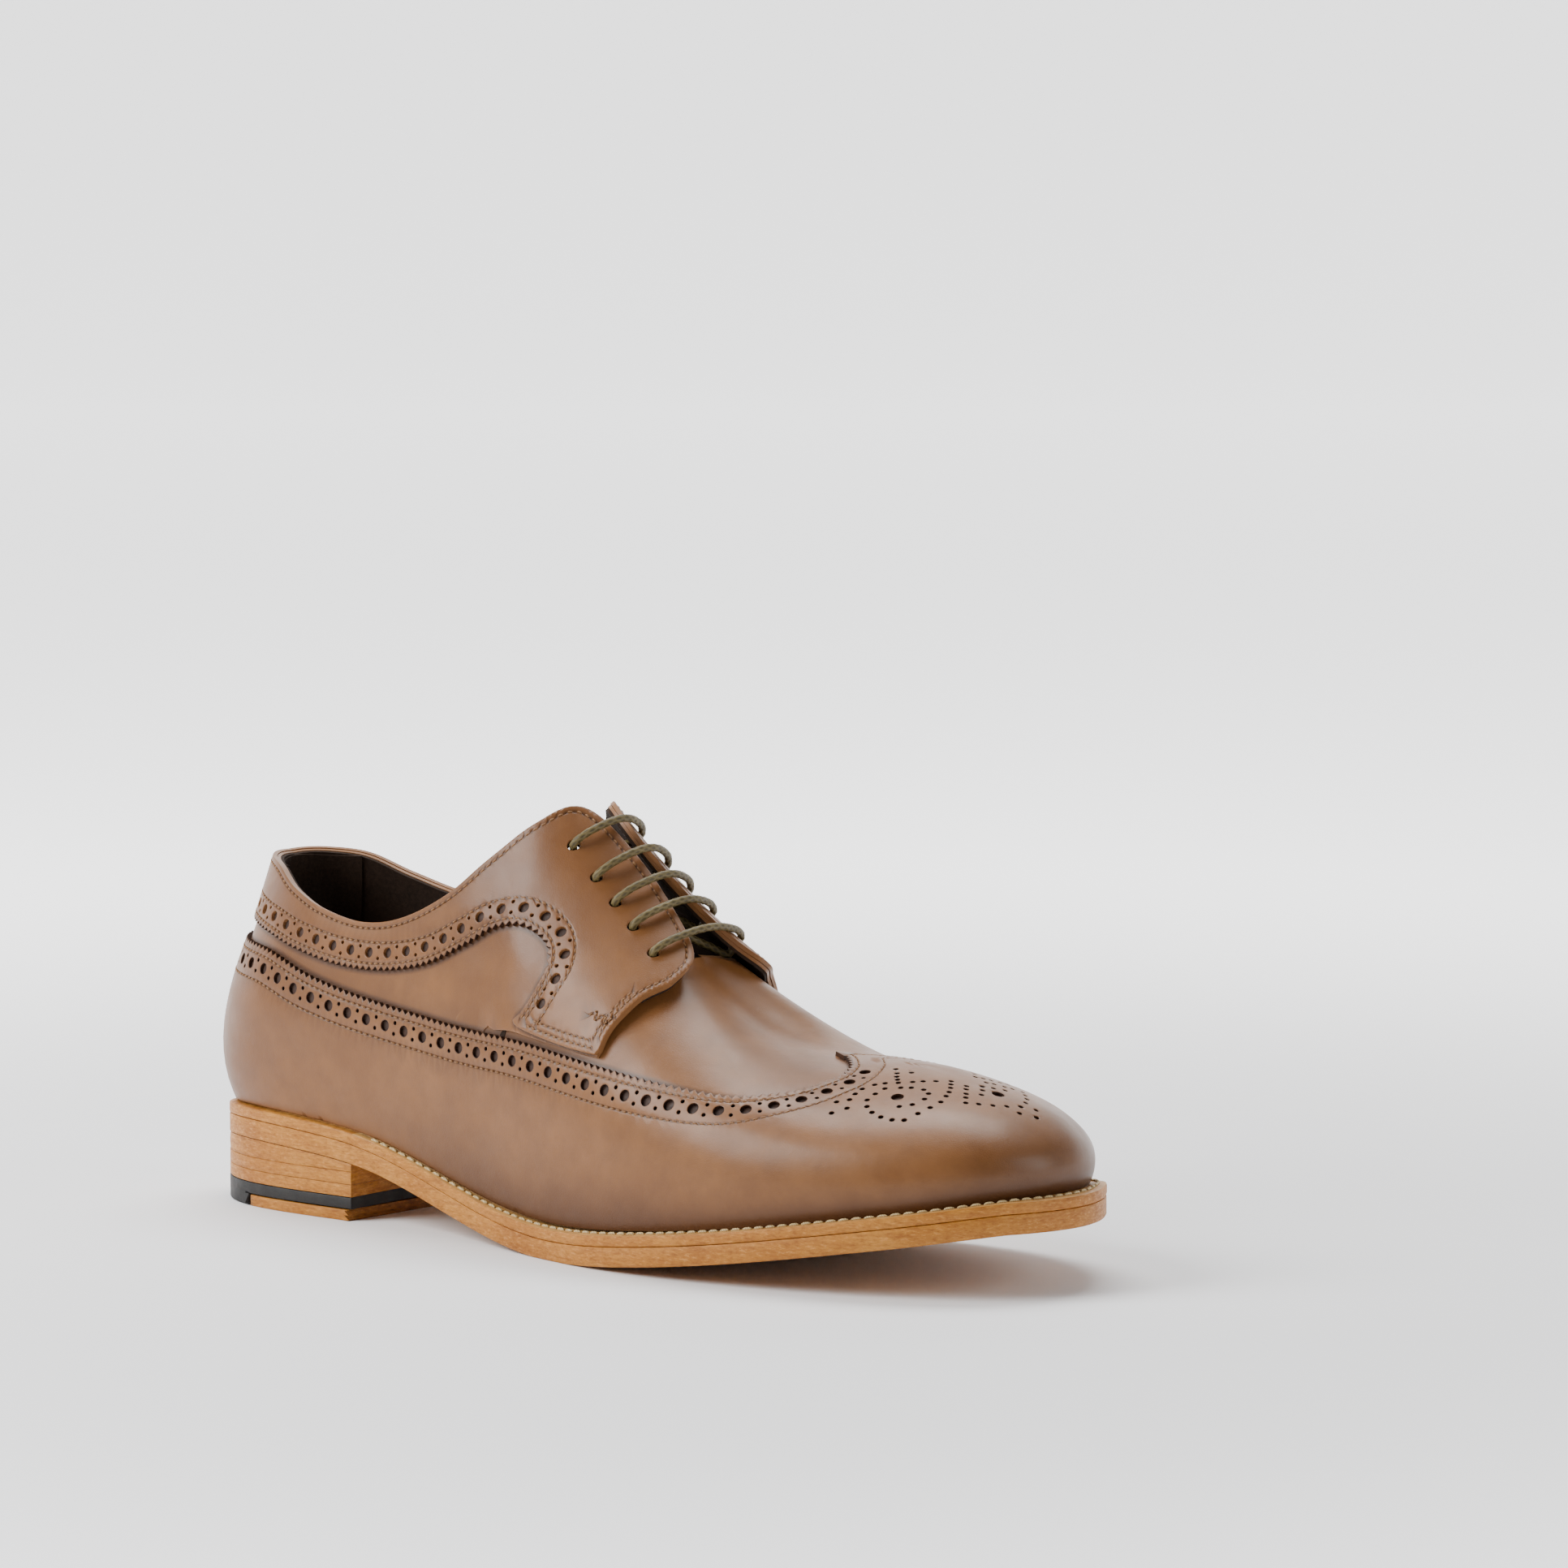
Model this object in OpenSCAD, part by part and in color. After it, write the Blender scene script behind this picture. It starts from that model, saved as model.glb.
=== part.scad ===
// Right shoe of an open-laced, long-wing brogued derby pair, millimetres.
// X runs from heel to toe, Y to the wearer's left (inner side), Z up. The
// origin is the middle of the heel's bottom face.
// The last is one smooth surface, place(u, w): u goes round the foot in 24
// stations (0 heel back, 12 toe tip, 0 to 12 along the outer side), w climbs
// from the feather edge (0) to the ridge of the instep (1). A w over 1 carries
// on down the other side. Every upper piece is a patch of that surface.

/* [Upper leather] */
// thickness of each piece of upper leather
leather_t = 1.1; // [0.9:0.05:1.15]
// thickness of each lining
lining_t = 0.85; // [0.6:0.05:0.85]
// gap between stacked layers
lap_gap = 0.3; // [0.25:0.01:0.32]
// height that the laced flaps stand off the tongue at their front edges
flap_lift = 5.6; // [4:0.2:7]
// diameter of each punched lace hole
eyelet_d = 3.6; // [3:0.1:4]

/* [Lacing] */
// diameter of the round waxed lace
lace_d = 2.2; // [1.8:0.1:2.4]
// height of the highest lace bar above the line between its two holes
bar_rise = 8.2; // [8:0.1:10]
// length of each lace tip
tip_len = 18; // [12:1:20]

/* [Sole] */
// welt thickness
welt_t = 3; // [2.5:0.1:3.2]
// outsole thickness
outsole_t = 5.6; // [5:0.1:6.5]
// insole thickness
insole_t = 2.8; // [2:0.1:3]
// diameter of the welt thread
thread_d = 0.8; // [0.6:0.1:0.9]

/* [Heel] */
// X of the heel breast
breast_x = 33; // [30:0.5:36]
// thickness of the rubber top piece
rubber_t = 6.8; // [6:0.1:7]
// X where the leather inlay of the top piece starts
inlay_x = -9; // [-14:1:4]
// height of the leather inlay
inlay_t = 3.2; // [2.5:0.1:3.5]
// thickness of each plain lift
lift_t = 3.3; // [3:0.1:3.5]
// diameter of the heel nails
nail_d = 2; // [1.6:0.1:2.4]

/* [Last] */
// heel-back X at each of the seven heights
back_x = [-32, -39, -36.5, -27.5, -23, -16, -6]; // feather to ridge
// toe-front X at each of the seven heights
toe_x = [258, 260, 261, 253, 242, 216, 206]; // feather to ridge
// share of the height at each of the seven heights
rise = [0, 0.11, 0.34, 0.57, 0.77, 1, 1]; // 0 to 1
// feather height at each station
feather_z = [27, 28, 29, 28, 25.5, 14, 7.5, 11, 15.5, 20.5, 24, 26.5, 27]; // heel to toe
// ridge height at each station
ridge_z = [120, 118, 118, 122, 126, 138, 110, 86.5, 63, 56.5, 56, 56, 55]; // heel to toe
// outer feather Y at each station
feather_out = [0, 17.5, 28.5, 31, 30.5, 33.5, 41.5, 48, 46, 40, 29, 15, 0]; // heel to toe
// inner feather Y at each station
feather_in = [0, 16.5, 27.5, 31, 28, 23, 25, 38, 46, 46, 38, 22, 0]; // heel to toe
// outer widest Y at each station
wide_out = [0, 17.5, 30, 34.5, 35, 37, 44, 50, 49, 42, 30, 15, 0]; // heel to toe
// inner widest Y at each station
wide_in = [0, 19, 31, 35, 34, 31, 32, 42, 49, 47, 39, 23, 0]; // heel to toe
// ridge Y at each station
ridge_y = [0, 0, 0, 0, -1, -2, -2, -1, 1, 4, 6, 7, 7]; // heel to toe
// share of the width left at the fourth height
full_3 = [0.82, 0.82, 0.82, 0.85, 0.86, 0.88, 0.9, 0.9, 0.9, 0.9, 0.9, 0.9, 0.9]; // heel to toe
// share of the width left at the fifth height
full_4 = [0.68, 0.66, 0.67, 0.7, 0.71, 0.68, 0.57, 0.56, 0.66, 0.69, 0.73, 0.74, 0.74]; // heel to toe
// share of the width left at the sixth height
full_5 = [0.43, 0.43, 0.43, 0.41, 0.36, 0.26, 0.18, 0.1, 0.26, 0.3, 0.31, 0.33, 0.36]; // heel to toe
// how far the sole stands out past the feather at each station
edge_out = [3.2, 3.4, 3.4, 3.3, 3.2, 3.6, 5.2, 6.2, 6, 6, 6, 6.3, 7]; // heel to toe

/* [Pattern lines] */
// topline and front edge of a flap, back of heel to the foot of the tab
flap_top = [[0, 0.73], [1, 0.735], [1.8, 0.715], [2.5, 0.64], [3.1, 0.575], [3.7, 0.535], [4.2, 0.55], [4.7, 0.625], [5.1, 0.735], [5.5, 0.855], [5.8, 0.955], [6.3, 0.97], [6.8, 0.945], [7.2, 0.895], [7.12, 0.81], [6.85, 0.71], [6.66, 0.58], [6.6, 0.5]]; // u, w
// lower gimped edge of the facing and collar overlay
facing_low = [[0, 0.54], [1.2, 0.525], [2.1, 0.49], [2.8, 0.44], [3.5, 0.4], [4.1, 0.397], [4.6, 0.435], [5, 0.52], [5.3, 0.605], [5.6, 0.66], [5.85, 0.665], [5.92, 0.62], [5.86, 0.55], [5.76, 0.46], [5.7, 0.412], [6.1, 0.435], [6.4, 0.46], [6.57, 0.478]]; // u, w
// lower edge of the quarter, under the long wing
quarter_low = [[0, 0.39], [1.2, 0.39], [2.1, 0.37], [2.8, 0.33], [3.3, 0.06], [4, 0.06], [4.5, 0.06], [4.9, 0.06], [5.15, 0.06], [5.31, 0.325], [5.46, 0.358], [5.62, 0.382], [5.75, 0.395], [5.88, 0.407], [6.02, 0.42], [6.2, 0.437], [6.4, 0.455], [6.57, 0.474]]; // u, w
// top edge of the long wing, back of heel to its peak on the ridge
wing_top = [[0, 0.45], [1.3, 0.44], [2.3, 0.42], [3.2, 0.35], [3.9, 0.312], [4.6, 0.3], [5.2, 0.32], [6, 0.395], [7, 0.48], [7.8, 0.585], [8.4, 0.7], [9, 0.805], [9.4, 0.87], [9.58, 0.92]]; // u, w
// tip of the wing peak
wing_peak = [[9.58, 0.92], [9.54, 0.965], [9.4, 0.99], [9.25, 1]]; // u, w
// back edge of the vamp, feather to ridge
vamp_back = [[5.3, 0.05], [5.3, 0.2], [5.36, 0.33], [5.66, 0.41], [5.95, 0.56], [6.55, 0.72], [7.1, 0.87], [7.25, 1]]; // u, w
// back edge of the vamp lining, feather to ridge
vamp_lining_back = [[5.65, 0.04], [5.68, 0.2], [5.72, 0.33], [5.85, 0.46], [6.3, 0.6], [6.95, 0.74], [7.5, 0.86], [7.65, 1]]; // u, w
// lace holes, front to top
eyelets = [[6.85, 0.822], [6.6, 0.837], [6.38, 0.85], [6.15, 0.862], [5.87, 0.877]]; // u, w

/* [Hidden] */
$fn = 32;
base_out = -lap_gap/2;                       // outer face of vamp and quarter
base_in = base_out - leather_t;
lin_out = base_in - lap_gap;                 // outer face of the linings
lin_in = lin_out - lining_t;
top_in = base_out + lap_gap;                 // inner face of the overlays
sole_t = welt_t + outsole_t + 2*lap_gap;
tan_c = [0.62, 0.44, 0.31];
lining_c = [0.30, 0.22, 0.17];
edge_c = [0.78, 0.58, 0.36];

// ---- the last surface ----
function ctrl(k, j) = let(
    m = k <= 12 ? k : 24 - k,
    c = ridge_y[m],
    hf = (k <= 12 ? -feather_out[m] : feather_in[m]) - c,
    hb = (k <= 12 ? -wide_out[m] : wide_in[m]) - c,
    y = [hf, hf + 0.8*(hb - hf), hb, hb*full_3[m], hb*full_4[m], hb*full_5[m], 0],
    s = (1 - cos(15*m))/2)
    [back_x[j] + (toe_x[j] - back_x[j])*s,
     m == 0 || m == 12 ? c : c + y[j],
     feather_z[m] + rise[j]*(ridge_z[m] - feather_z[m])];
net = [for (k = [0:23]) [for (j = [0:6]) ctrl(k, j)]];
knots = [0, 0, 0, 0, 0.25, 0.5, 0.75, 1, 1, 1, 1];
function bu(t) = [pow(1 - t, 3), 3*t*t*t - 6*t*t + 4, -3*t*t*t + 3*t*t + 3*t + 1, t*t*t]/6;
function dbu(t) = [-pow(1 - t, 2), 3*t*t - 4*t, -3*t*t + 2*t + 1, t*t]/2;
function div(a, b) = b > 0 ? a/b : 0;
function bw(i, p, w) = p == 0 ? (knots[i] <= w && w < knots[i + 1] ? 1 : 0)
    : div(w - knots[i], knots[i + p] - knots[i])*bw(i, p - 1, w)
    + div(knots[i + p + 1] - w, knots[i + p + 1] - knots[i + 1])*bw(i + 1, p - 1, w);
function row(w) = let(v = min(max(w, 0), 1 - 1e-9)) [for (j = [0:6]) bw(j, 3, v)];
function drow(w) = let(v = min(max(w, 0), 1 - 1e-9)) [for (j = [0:6])
    3*(div(bw(j, 2, v), knots[j + 3] - knots[j]) - div(bw(j + 1, 2, v), knots[j + 4] - knots[j + 1]))];
function column(k, q) = [for (j = [0:6]) q*[net[(k + 23)%24][j], net[k%24][j], net[(k + 1)%24][j], net[(k + 2)%24][j]]];
function unit(v) = v/norm(v);
// [point, outward normal] at u, w
function spot(u, w) = w > 1 ? spot(24 - u, 2 - w) : let(
    v = u < 0 ? u + 24 : u >= 24 ? u - 24 : u,
    k = floor(v), b = row(w),
    c = column(k, bu(v - k)), d = column(k, dbu(v - k)))
    [b*c, unit(cross(b*d, drow(w)*c))];
function place(u, w, o) = let(s = spot(u, w)) s[0] + o*s[1];
function feather(u) = row(0)*column(floor(u)%24, bu(u - floor(u)));

function ease(t) = let(x = min(max(t, 0), 1)) x*x*(3 - 2*x);
// smooth value along a table, s counts its stations
function along(T, s) = let(n = len(T), i = min(max(floor(s), 0), n - 2), f = s - i,
    a = T[max(i - 1, 0)], b = T[i], c = T[i + 1], d = T[min(i + 2, n - 1)])
    0.5*(2*b + (c - a)*f + (2*a - 5*b + 4*c - d)*f*f + (3*b - a - 3*c + d)*f*f*f);
function share(T, t) = along(T, t*(len(T) - 1));
function mix(a, b, f) = a*(1 - f) + b*f;
function flip(p) = [24 - p[0], p[1]];
function over(p) = [p[0], 2 - p[1]];

// how far a flap stands off the last at u, w
function stand(u, w) = let(v = u > 12 ? 24 - u : u)
    ease((v - 4.2)/1)*(ease((w - 0.5)/0.12) + flap_lift*pow(max(0, (w - 0.5)/0.5), 3));
// outer face of the quarter: it steps up over the vamp
function quarter_off(u, w) = let(v = u > 12 ? 24 - u : u)
    base_out + (leather_t + lap_gap)*ease((v - 5.2)/0.4) + stand(u, w);
// [outer, inner] offset of each kind of layer
function layer(kind, u, w) = let(q = quarter_off(u, w))
    kind == "top" ? [top_in + leather_t, top_in] :
    kind == "base" ? [base_out, base_in] :
    kind == "lining" ? [lin_out, lin_in] :
    kind == "quarter" ? [q, q - leather_t] :
    kind == "facing" ? [q + lap_gap + leather_t, q + lap_gap] :
    kind == "facing_lining" ? [q - leather_t - lap_gap - 0.36, q - leather_t - lap_gap - 0.36 - lining_t] :
    kind == "stiff" ? [base_out - 0.3, base_in] :
    kind == "grip" ? [lin_out - 0.3, lin_in - 0.3] :
    [lin_out - 0.15 + stand(u, w), lin_in - 0.15 + stand(u, w)];

// ---- patches: grids of [u, w] turned into closed shells ----
function tri(a, b, c, d) = [[a, b, c], [a, c, d]];
function shell_faces(ni, nj, k, e) = let(n = ni*nj,
    o = function (i, j) k + i*nj + j, q = function (i, j) k + n + i*nj + j)
    [for (i = [0:ni - 2]) for (j = [0:nj - 2]) each concat(
        tri(o(i, j), o(i, j + 1), o(i + 1, j + 1), o(i + 1, j)),
        tri(q(i, j), q(i + 1, j), q(i + 1, j + 1), q(i, j + 1))),
     for (j = [e[0]:1:e[1] - 1]) each tri(o(0, j + 1), o(0, j), q(0, j), q(0, j + 1)),
     if (e[2]) for (j = [0:nj - 2]) each tri(o(ni - 1, j), o(ni - 1, j + 1), q(ni - 1, j + 1), q(ni - 1, j)),
     if (e[3]) for (i = [0:ni - 2]) each tri(o(i, 0), o(i + 1, 0), q(i + 1, 0), q(i, 0)),
     if (e[4]) for (i = [0:ni - 2]) each tri(o(i + 1, nj - 1), o(i, nj - 1), q(i, nj - 1), q(i + 1, nj - 1))];
function shell_points(G, kind) = concat(
    [for (r = G) for (p = r) let(l = layer(kind, p[0], p[1])) place(p[0], p[1], l[0])],
    [for (r = G) for (p = r) let(l = layer(kind, p[0], p[1])) place(p[0], p[1], l[1])]);
// one patch with all four edges closed, or zipped to itself at its last row
module patch(G, kind, last = true, first = true) {
    n = len(G[0]);
    polyhedron(shell_points(G, kind), shell_faces(len(G), n, 0, [0, first ? n - 1 : 0, last, true, true]), convexity = 6);
}
// grid between two tables of stations, from share a to share b
function between(L, T, ni, nj, a = 0, b = 1, m = false) = [for (i = [0:ni]) let(
    t = a + (b - a)*i/ni, p = share(L, t), q = share(T, t))
    [for (j = [0:nj]) let(r = mix(p, q, j/nj)) m ? flip(r) : r]];
// the same grid for the inner side, with its rows turned round
function rev(G) = [for (i = [len(G) - 1:-1:0]) G[i]];
function both(L, T, ni, nj, side, a = 0, b = 1) = side > 0
    ? between(L, T, ni, nj, a, b) : rev(between(L, T, ni, nj, a, b, true));

// ---- upper ----
wing_foot = [for (i = [0:len(wing_top) - 1]) [10.2*i/(len(wing_top) - 1), 0.005]];
module long_wing() {
    nj = 7; ni = 28; nt = 8; np = 3;
    L = both(wing_foot, wing_top, ni, nj, 1);
    M = both(wing_foot, wing_top, ni, nj, -1);
    half = concat([for (j = [0:nj]) mix([10.2, 0.005], wing_top[13], j/nj)], [for (j = [1:np]) share(wing_peak, j/np)]);
    edge = concat(half, [for (j = [len(half) - 2:-1:0]) over(half[j])]);
    T = [for (i = [0:nt]) [for (p = edge) [mix(p[0], 12, i/nt), p[1]]]];
    n1 = (ni + 1)*(nj + 1)*2;
    color(tan_c) polyhedron(
        concat(shell_points(L, "top"), shell_points(M, "top"), shell_points(T, "top")),
        concat(shell_faces(ni + 1, nj + 1, 0, [0, 0, false, true, true]),
               shell_faces(ni + 1, nj + 1, n1, [0, 0, false, true, true]),
               shell_faces(nt + 1, len(edge), 2*n1, [nj, nj + 2*np, false, true, true])), convexity = 8);
}
module vamp() {
    B = concat(vamp_back, [for (i = [len(vamp_back) - 2:-1:0]) over(vamp_back[i])]);
    F = [for (p = B) [9.85, p[1]]];
    G = between(B, F, 26, 12);
    color(tan_c) patch([for (j = [0:12]) [for (i = [0:26]) G[i][j]]], "base");
}
module lace_holes(side) {
    for (e = eyelets) {
        p = side > 0 ? e : flip(e);
        s = spot(p[0], p[1]);
        o = quarter_off(p[0], p[1]);
        translate(s[0] + (o - 7)*s[1]) rotate([0, acos(s[1][2]), atan2(s[1][1], s[1][0])])
            cylinder(d = eyelet_d, h = 14);
    }
}
module quarter(side) {
    color(tan_c) difference() {
        patch(both(quarter_low, flap_top, 34, 6, side), "quarter");
        lace_holes(side);
    }
}
module facing(side) {
    color(tan_c*0.95) difference() {
        patch(both(facing_low, flap_top, 40, 5, side), "facing");
        lace_holes(side);
    }
}
flap_back = [[5.55, 0.8], [5.56, 0.78], [5.58, 0.75], [5.62, 0.72], [5.7, 0.69], [5.9, 0.67], [6.2, 0.665], [6.5, 0.66]];
flap_front = [[5.6, 0.88], [5.8, 0.94], [6.05, 0.968], [6.4, 0.962], [6.8, 0.94], [7.14, 0.89], [7.06, 0.81], [6.76, 0.69]];
module facing_lining(side) {
    color(lining_c) difference() {
        patch(both(flap_back, flap_front, 16, 5, side), "facing_lining");
        lace_holes(side);
    }
}
sock_low = [[1.72, 0.04], [2.1, 0.04], [2.5, 0.04], [3, 0.04], [3.5, 0.04], [4, 0.04], [4.5, 0.04], [5, 0.04], [5.55, 0.04]];
sock_top = [[1.72, 0.718], [2.1, 0.68], [2.5, 0.635], [3, 0.583], [3.55, 0.54], [4.05, 0.538], [4.55, 0.595], [4.98, 0.69], [5.45, 0.83]];
module quarter_lining(side) color(lining_c) patch(both(sock_low, sock_top, 20, 7, side), "flap");
module heel_grip() color(lining_c*1.15)
    patch([for (i = [0:12]) let(u = -1.68 + 3.36*i/12) [for (j = [0:7]) [u, mix(0.04, 0.725 - 0.002*abs(u), j/7)]]], "grip");
module vamp_lining() {
    h = concat(vamp_lining_back, [for (i = [len(vamp_lining_back) - 2:-1:0]) over(vamp_lining_back[i])]);
    color(lining_c) patch([for (i = [0:15]) [for (j = [0:26]) let(p = share(h, j/26)) [mix(p[0], 12, i/15), p[1]]]], "lining", last = false);
}
module heel_stiffener() color([0.8, 0.72, 0.55])
    patch([for (i = [0:18]) let(u = -2.6 + 5.2*i/18) [for (j = [0:4]) [u, mix(0.03, 0.37 - 0.05*pow(abs(u)/2.6, 4), j/4)]]], "stiff");
module toe_puff() color([0.8, 0.72, 0.55])
    patch([for (i = [0:6]) [for (j = [0:20]) [mix(10, 12, i/6), mix(0.04, 1.96, j/20)]]], "base", last = false);

// ---- tongue: joined under the throat of the vamp, sagging into the mouth ----
tongue_line = [[137.5, 72.5], [129, 77.5], [120, 81.5], [110, 85], [100, 88.5], [90, 91.5], [80, 94.5]];
tongue_half = [14, 17, 18, 18, 18, 17.5, 16];
function tongue_at(t, v, o) = let(c = share(tongue_line, t), h = share(tongue_half, t),
    d = unit(share(tongue_line, min(1, t + 0.02)) - share(tongue_line, t - 0.02)))
    [c[0] + d[1]*o, -1 + v*h*(1 - 0.25*pow(t, 8)), c[1] - 0.016*pow(v*h, 2) - d[0]*o];
module tongue_sheet(o1, o2) {
    ni = 12; nj = 8;
    g = function (o) [for (i = [0:ni]) for (j = [0:nj]) tongue_at(i/ni, 1 - 2*j/nj, o)];
    polyhedron(concat(g(o1), g(o2)), shell_faces(ni + 1, nj + 1, 0, [0, nj, true, true, true]), convexity = 4);
}
module tongue() color(tan_c*0.8) tongue_sheet(leather_t, 0);
module tongue_lining() color(lining_c) tongue_sheet(-lap_gap, -lap_gap - lining_t);

// ---- bottom ----
function brim(u, d) = let(a = feather(u), t = feather(u + 0.02) - feather(u < 0.02 ? 0 : u - 0.02),
    n = unit([t[1], -t[0]])) [a[0], a[1]] + d*n;
function outline(d, n = 72) = [for (i = [0:n - 1]) let(u = 24*i/n) brim(u, d)];
function edge_of(u) = share(edge_out, (u > 12 ? 24 - u : u)/12);
function full_outline(n = 80) = [for (i = [0:n - 1]) let(u = 24*i/n) brim(u, edge_of(u))];
function seat_line(o, n = 32) = concat([[-60, feather(0)[2] + o]],
    [for (i = [0:n]) let(p = feather(12*i/n)) [p[0], p[2] + o]], [[290, feather(12)[2] + 1 + o]]);
// solid between two heights that both follow the feather
module band(a, b) rotate([90, 0, 0]) linear_extrude(height = 140, center = true)
    polygon(concat(seat_line(a), [for (p = rev(seat_line(b))) p]));
module window(x0, x1) translate([x0, -70]) square([x1 - x0, 140]);
module ring(inset) difference() {
    polygon(full_outline());
    polygon(outline(-inset, 60));
}
module slab(a, b, x0, x1) intersection() {
    linear_extrude(height = 80) intersection() { children(); window(x0, x1); }
    band(a, b);
}
module insole() color([0.85, 0.74, 0.56]) slab(insole_t, 0, -60, 290) polygon(outline(-4));
module insock() color([0.42, 0.28, 0.18]) slab(insole_t + 1.1, insole_t + 0.1, -60, 74) polygon(outline(-5.5));
module insole_rib() color([0.9, 0.87, 0.78]) slab(-0.1, -welt_t, 38, 290) difference() {
    polygon(outline(-5, 60));
    polygon(outline(-6.6, 60));
}
module cork_filler() color([0.45, 0.33, 0.22]) slab(-0.1, -welt_t, 116, 290) polygon(outline(-7, 60));
module shank() color([0.55, 0.57, 0.6]) slab(-0.2, -1.6, 22, 114) translate([22, -6]) square([92, 12]);
module welt() color(edge_c) slab(-lap_gap, -lap_gap - welt_t, breast_x + 0.2, 290) ring(4.6);
module heel_rand() color(edge_c*0.9) slab(-lap_gap, -lap_gap - welt_t, -60, breast_x) ring(4.6);
module outsole() color(edge_c*0.92) slab(-welt_t - 2*lap_gap, -sole_t, -60, 290) polygon(full_outline());
module heel_profile() intersection() { polygon(full_outline()); window(-60, breast_x); }
module nails(d, z0, z1) for (p = [[-22, -14], [-22, 14], [-6, -23], [-6, 23], [18, -24], [18, 24], [25, 0]])
    translate([p[0], p[1], z0]) cylinder(d = d, h = z1 - z0);
nail_bore = nail_d + 0.2;
module heel_lift(z, h) color(edge_c*0.85) difference() {
    translate([0, 0, z]) linear_extrude(height = h) heel_profile();
    nails(nail_bore, z - 1, z + h + 1);
}
lower_z = rubber_t + lap_gap;
middle_z = lower_z + lift_t + lap_gap;
seat_z = middle_z + lift_t + lap_gap;
module heel_seat_lift() color(edge_c*0.85) intersection() {
    translate([0, 0, seat_z]) linear_extrude(height = 30) heel_profile();
    rotate([90, 0, 0]) linear_extrude(height = 140, center = true)
        polygon(concat(seat_line(-sole_t - lap_gap), [[290, 0], [-60, 0]]));
}
module inlay_shape(o = 0) intersection() { heel_profile(); window(inlay_x - o, 100); }
module heel_rubber_top_piece() color([0.16, 0.16, 0.17]) difference() {
    linear_extrude(height = rubber_t) heel_profile();
    translate([0, 0, -1]) linear_extrude(height = inlay_t + lap_gap + 1) translate([inlay_x - lap_gap, -70]) square([100, 140]);
    nails(nail_bore, -1, rubber_t + 1);
}
module heel_leather_inlay() color(edge_c*0.8) difference() {
    linear_extrude(height = inlay_t) inlay_shape();
    nails(nail_bore, -1, inlay_t + 1);
}
module heel_nails() color([0.72, 0.6, 0.35]) nails(nail_d, 0.1, seat_z - 0.1);

// ---- threads and lace ----
// tube of radius r through smooth points
function side_of(t) = let(a = abs(t[2]) > 0.9 ? [1, 0, 0] : [0, 0, 1]) unit(cross(t, a));
function carry(P, i = 0, s = undef, acc = []) = i >= len(P) ? acc : let(
    t = unit(P[min(i + 1, len(P) - 1)] - P[max(i - 1, 0)]),
    x = s == undef ? side_of(t) : unit(s - (s*t)*t)) carry(P, i + 1, x, concat(acc, [[t, x]]));
module tube(P, r, m = 8) {
    f = carry(P); n = len(P);
    polyhedron([for (i = [0:n - 1]) let(x = f[i][1], y = cross(f[i][0], x)) for (j = [0:m - 1])
            P[i] + r*(cos(360*j/m)*x + sin(360*j/m)*y)],
        concat([for (i = [0:n - 2]) for (j = [0:m - 1]) each tri(i*m + j, (i + 1)*m + j, (i + 1)*m + (j + 1)%m, i*m + (j + 1)%m)],
            [[for (j = [0:m - 1]) j], [for (j = [m - 1:-1:0]) (n - 1)*m + j]]), convexity = 20);
}
function stitch_line(n) = [for (i = [0:n]) let(u = 3.95 + 16.1*i/n, p = brim(u, edge_of(u)*0.72))
    [p[0], p[1], feather(u)[2] + thread_d/2 - lap_gap + 0.55]];
module welt_stitching() color([0.92, 0.88, 0.76]) tube(stitch_line(80), thread_d/2, 5);

function hole(i, side, o) = let(e = eyelets[i], p = side > 0 ? e : flip(e)) place(p[0], p[1], quarter_off(p[0], p[1]) + o);
out_o = leather_t + lap_gap;                  // outer face of the facing above the quarter
in_o = -leather_t - lap_gap - 0.36 - lining_t;       // inner face of the facing lining
bar_share = [0.68, 0.8, 0.91, 1, 0.9];        // front bar to top bar
bar_way = unit([0.66, 0, 0.75]);             // a bar arches square to the instep
function bar(i) = let(a = hole(i, 1, out_o + 1.5), b = hole(i, -1, out_o + 1.5))
    [hole(i, 1, in_o - 1.6), hole(i, 1, in_o/2), hole(i, 1, out_o + 0.6),
     for (f = [0.1, 0.22, 0.36, 0.5, 0.64, 0.78, 0.9]) mix(a, b, f) + bar_rise*bar_share[i]*pow(sin(180*f), 0.85)*bar_way,
     hole(i, -1, out_o + 0.6), hole(i, -1, in_o/2), hole(i, -1, in_o - 1.6)];
function under(i) = let(a = hole(i, -1, in_o - 2.4), b = hole(i + 1, 1, in_o - 2.4))
    [for (f = [0.2, 0.5, 0.8]) mix(a, b, f) + [0, 0, 4*sin(180*f)]];
// the two ends lie inside, against the linings: [u, w, distance in]
lateral_tail = [for (p = [[6.5, 0.76, 5.5], [6.1, 0.7, 5.5], [5.7, 0.64, 5.5], [5.3, 0.58, 5.5], [4.9, 0.52, 5.5], [4.5, 0.46, 5.5], [4.1, 0.42, 5.5]]) place(p[0], p[1], -p[2])];
medial_tail = [for (p = [[5.75, 0.78, 5], [5.6, 0.69, 4.4], [5.4, 0.61, 4.8], [5.1, 0.54, 5.5], [4.75, 0.49, 5.5], [4.4, 0.45, 5.5], [4.05, 0.42, 5.5]]) place(24 - p[0], p[1], -p[2])];
lace_knots = concat(rev(lateral_tail), bar(0), under(0), bar(1), under(1), bar(2), under(2), bar(3), under(3), bar(4), medial_tail);
function lace_run(k) = [for (i = [0:k*(len(lace_knots) - 1)]) along(lace_knots, i/k)];
module lace() color([0.54, 0.48, 0.35]) tube(lace_run(2), lace_d/2, 6);
module tip(a, b) let(d = unit(a - b)) tube([a + 0.2*d, a + tip_len*d], lace_d/2 - 0.1, 8);
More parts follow.
